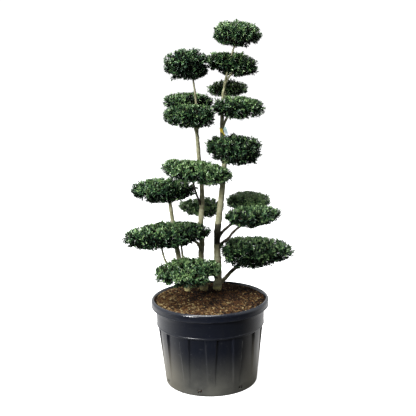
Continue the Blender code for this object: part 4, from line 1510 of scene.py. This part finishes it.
def make_cloud(cloud, leaf_shape, greens, twig_bark, shoot_bark):
    """The leaves of one cloud as one piece, and its twigs and shoots as another."""
    growth = Growth(cloud)
    places, ahead, upper, size, green = growth.leaves()
    points, faces = joined_copies(leaf_shape, places, leaf_frames(ahead, upper, size, growth.rng))
    leaves = mesh_object(f"leaves_{cloud.name}", points, faces)
    wear(leaves, *greens)
    deal(leaves, green, len(leaf_shape[1]))
    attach(leaves, "root")
    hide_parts(f"cloud_{cloud.name}")
    wood_points, wood_faces = joined(growth.wood)
    twig_points, twig_faces = joined([(wood_points, wood_faces), *growth.green])
    twigs = mesh_object(f"twigs_{cloud.name}", twig_points, twig_faces)
    wear(twigs, twig_bark, shoot_bark)
    deal(twigs, np.arange(len(twig_faces)) >= len(wood_faces))
    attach(twigs, "root")


def make_foliage():
    leaf_shape = model_leaf()
    greens = []
    for name, colour, roughness, gloss in LEAF_GREENS:
        greens.append(plain(name, colour, roughness, Specular_IOR_Level=gloss))
    twig_bark = plain("twig_bark", (0.075, 0.058, 0.036), 0.85)
    shoot_bark = plain("shoot_bark", (0.060, 0.085, 0.030), 0.70)
    for cloud in CLOUDS:
        make_cloud(cloud, leaf_shape, greens, twig_bark, shoot_bark)


def make_tie():
    """A yellow strip slung aslant round the right stem, with a knot above the tag."""
    bpy.ops.mesh.primitive_cylinder_add(vertices=40, radius=0.0122, depth=0.0052, end_fill_type="NOTHING")
    tie = just_added("tag_tie")
    tie.scale = (1.80, 1.0, 1.0)
    apply_place(tie)
    apply_modifier(tie, "SOLIDIFY", thickness=0.0009, offset=1.0)
    tie.rotation_euler = (0.0, math.radians(56.0), 0.0)
    tie.location = (0.0790, 0.0355, 1.276)
    apply_place(tie)
    bpy.ops.mesh.primitive_ico_sphere_add(subdivisions=3, radius=0.0078, location=(0.0735, 0.0215, 1.2825))
    knot = just_added("tie_knot")
    knot.scale = (0.9, 0.6, 1.3)
    apply_place(knot)
    roughen(knot, "knot_folds", 0.006, 0.004)
    merge_into(tie, [knot])
    smooth_shade(tie, 35.0)
    wear(tie, tie_plastic())
    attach(tie, "root")


def make_tag():
    """A blank tag that hangs from the tie by its corner."""
    bpy.ops.mesh.primitive_cube_add(size=1.0)
    tag = just_added("blank_tag")
    tag.scale = (0.018, 0.0008, 0.050)
    apply_place(tag)
    start_edit(tag)
    bpy.ops.mesh.subdivide(number_cuts=6)
    bpy.ops.mesh.remove_doubles(threshold=0.0001)
    end_edit()
    tag.rotation_euler = [math.radians(turn) for turn in (-24.0, -28.0, -20.0)]
    tag.location = (0.0960, 0.0080, 1.2770)
    apply_place(tag)
    roughen(tag, "tag_bend", 0.040, 0.004)
    smooth_shade(tag, 35.0)
    wear(tag, tag_plastic())
    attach(tag, "root")


def by_ray(tree, ray, others, chosen):
    """One shader for the rays of this kind, and another for all the rest."""
    kind = add_node(tree, "LightPath").outputs[ray]
    return add_node(tree, "MixShader", {0: kind, 1: others.outputs[0], 2: chosen.outputs[0]})


def facing(tree, way, axis):
    """How far a heading points along the axis."""
    return add_node(tree, "VectorMath", {0: way, 1: axis}, operation="DOT_PRODUCT").outputs["Value"]


def make_floor():
    """A wide pale floor that meets the white round it with no edge, and lights the plant only a little.

    In the gloss of the pot it shows as white cards to the sides and behind, and as a dark front.
    """
    bpy.ops.mesh.primitive_circle_add(vertices=96, radius=FLOOR_RADIUS, fill_type="NGON")
    floor = just_added("studio_floor")
    material = bpy.data.materials.new("studio_floor")
    material.use_nodes = True
    tree = material.node_tree
    tree.nodes.remove(tree.nodes["Principled BSDF"])
    pale = add_node(tree, "BsdfDiffuse", {"Color": (0.90, 0.90, 0.90, 1.0)})
    glow = add_node(tree, "Emission", {"Strength": 0.85})
    seen = add_node(tree, "AddShader", {0: pale.outputs[0], 1: glow.outputs[0]})
    thrown = add_node(tree, "BsdfDiffuse", {"Color": (0.15, 0.15, 0.15, 1.0)})
    place = add_node(tree, "TexCoord").outputs["Object"]
    way = add_node(tree, "VectorMath", {0: place}, operation="NORMALIZE").outputs[0]
    aside = ramp(tree, facing(tree, way, (-0.18, 1.0, 0.0)), -0.75, 0.55)
    brighter_left = ramp(tree, facing(tree, way, (1.0, 0.0, 0.0)), -0.5, 0.5, 1.30, 1.05, "LINEAR")
    card = add_node(tree, "Math", {0: aside, 1: brighter_left, 2: 0.055}, operation="MULTIPLY_ADD")
    cards = add_node(tree, "Emission", {"Strength": card.outputs[0]})
    mirrored = by_ray(tree, "Is Glossy Ray", thrown, cards)
    shown = by_ray(tree, "Is Camera Ray", mirrored, seen)
    tree.links.new(shown.outputs[0], tree.nodes["Material Output"].inputs["Surface"])
    wear(floor, material)


def make_world():
    """White to the camera, and for the plant a soft light from the sides and the back, dim in front."""
    world = bpy.data.worlds.new("soft_studio")
    bpy.context.scene.world = world
    world.use_nodes = True
    tree = world.node_tree
    seen = tree.nodes["Background"]
    seen.inputs["Color"].default_value = (1.0, 1.0, 1.0, 1.0)
    seen.inputs["Strength"].default_value = 1.1
    way = add_node(tree, "TexCoord").outputs["Object"]
    back = add_node(tree, "SeparateXYZ", {"Vector": way}).outputs["Y"]
    strength = ramp(tree, back, -0.85, 0.0, 0.05, 0.95)
    glossy = add_node(tree, "LightPath").outputs["Is Glossy Ray"]
    share = add_node(tree, "Math", {0: glossy, 1: 0.54, 2: 0.46}, operation="MULTIPLY_ADD").outputs[0]
    power = add_node(tree, "Math", {0: strength, 1: share}, operation="MULTIPLY").outputs[0]
    light = add_node(tree, "Background", {"Color": (0.95, 0.98, 1.0, 1.0), "Strength": power})
    shown = by_ray(tree, "Is Camera Ray", light, seen)
    tree.links.new(shown.outputs[0], tree.nodes["World Output"].inputs["Surface"])


def add_softbox(name, place, aim, size, power):
    heading = (Vector(aim) - Vector(place)).to_track_quat("-Z", "Y")
    bpy.ops.object.light_add(type="AREA", location=place, rotation=heading.to_euler())
    light = just_added(name)
    light.data.shape = "SQUARE"
    light.data.size = size
    light.data.energy = power


def make_lights():
    add_softbox("top_light", (-1.2, -1.8, 9.0), (0.0, 0.0, 0.9), 5.0, 1340.0)
    add_softbox("key_light", (-4.6, -5.6, 3.6), (0.0, 0.0, 0.9), 1.8, 760.0)


def make_camera():
    deselect_all()
    bpy.ops.object.camera_add(location=CAMERA_PLACE)
    camera = just_added("photo_camera")
    camera.data.sensor_width = SENSOR
    camera.data.lens = SENSOR * FOCAL_PX / PHOTO_SIDE_PX
    down = math.radians(CAMERA_DOWN_DEG)
    ahead = Vector((0.0, math.cos(down), -math.sin(down)))
    level = ahead.to_track_quat("-Z", "Y").to_matrix().to_4x4()
    roll = Matrix.Rotation(-math.radians(CAMERA_ROLL_DEG), 4, "Z")
    camera.matrix_world = Matrix.Translation(CAMERA_PLACE) @ level @ roll
    bpy.context.scene.camera = camera
    bpy.context.scene.view_settings.view_transform = "Standard"


def main():
    make_groups()
    make_pot()
    make_compost()
    fill_drains()
    scatter_chips()
    make_limbs()
    make_foliage()
    make_tie()
    make_tag()
    make_floor()
    make_world()
    make_lights()
    make_camera()


main()
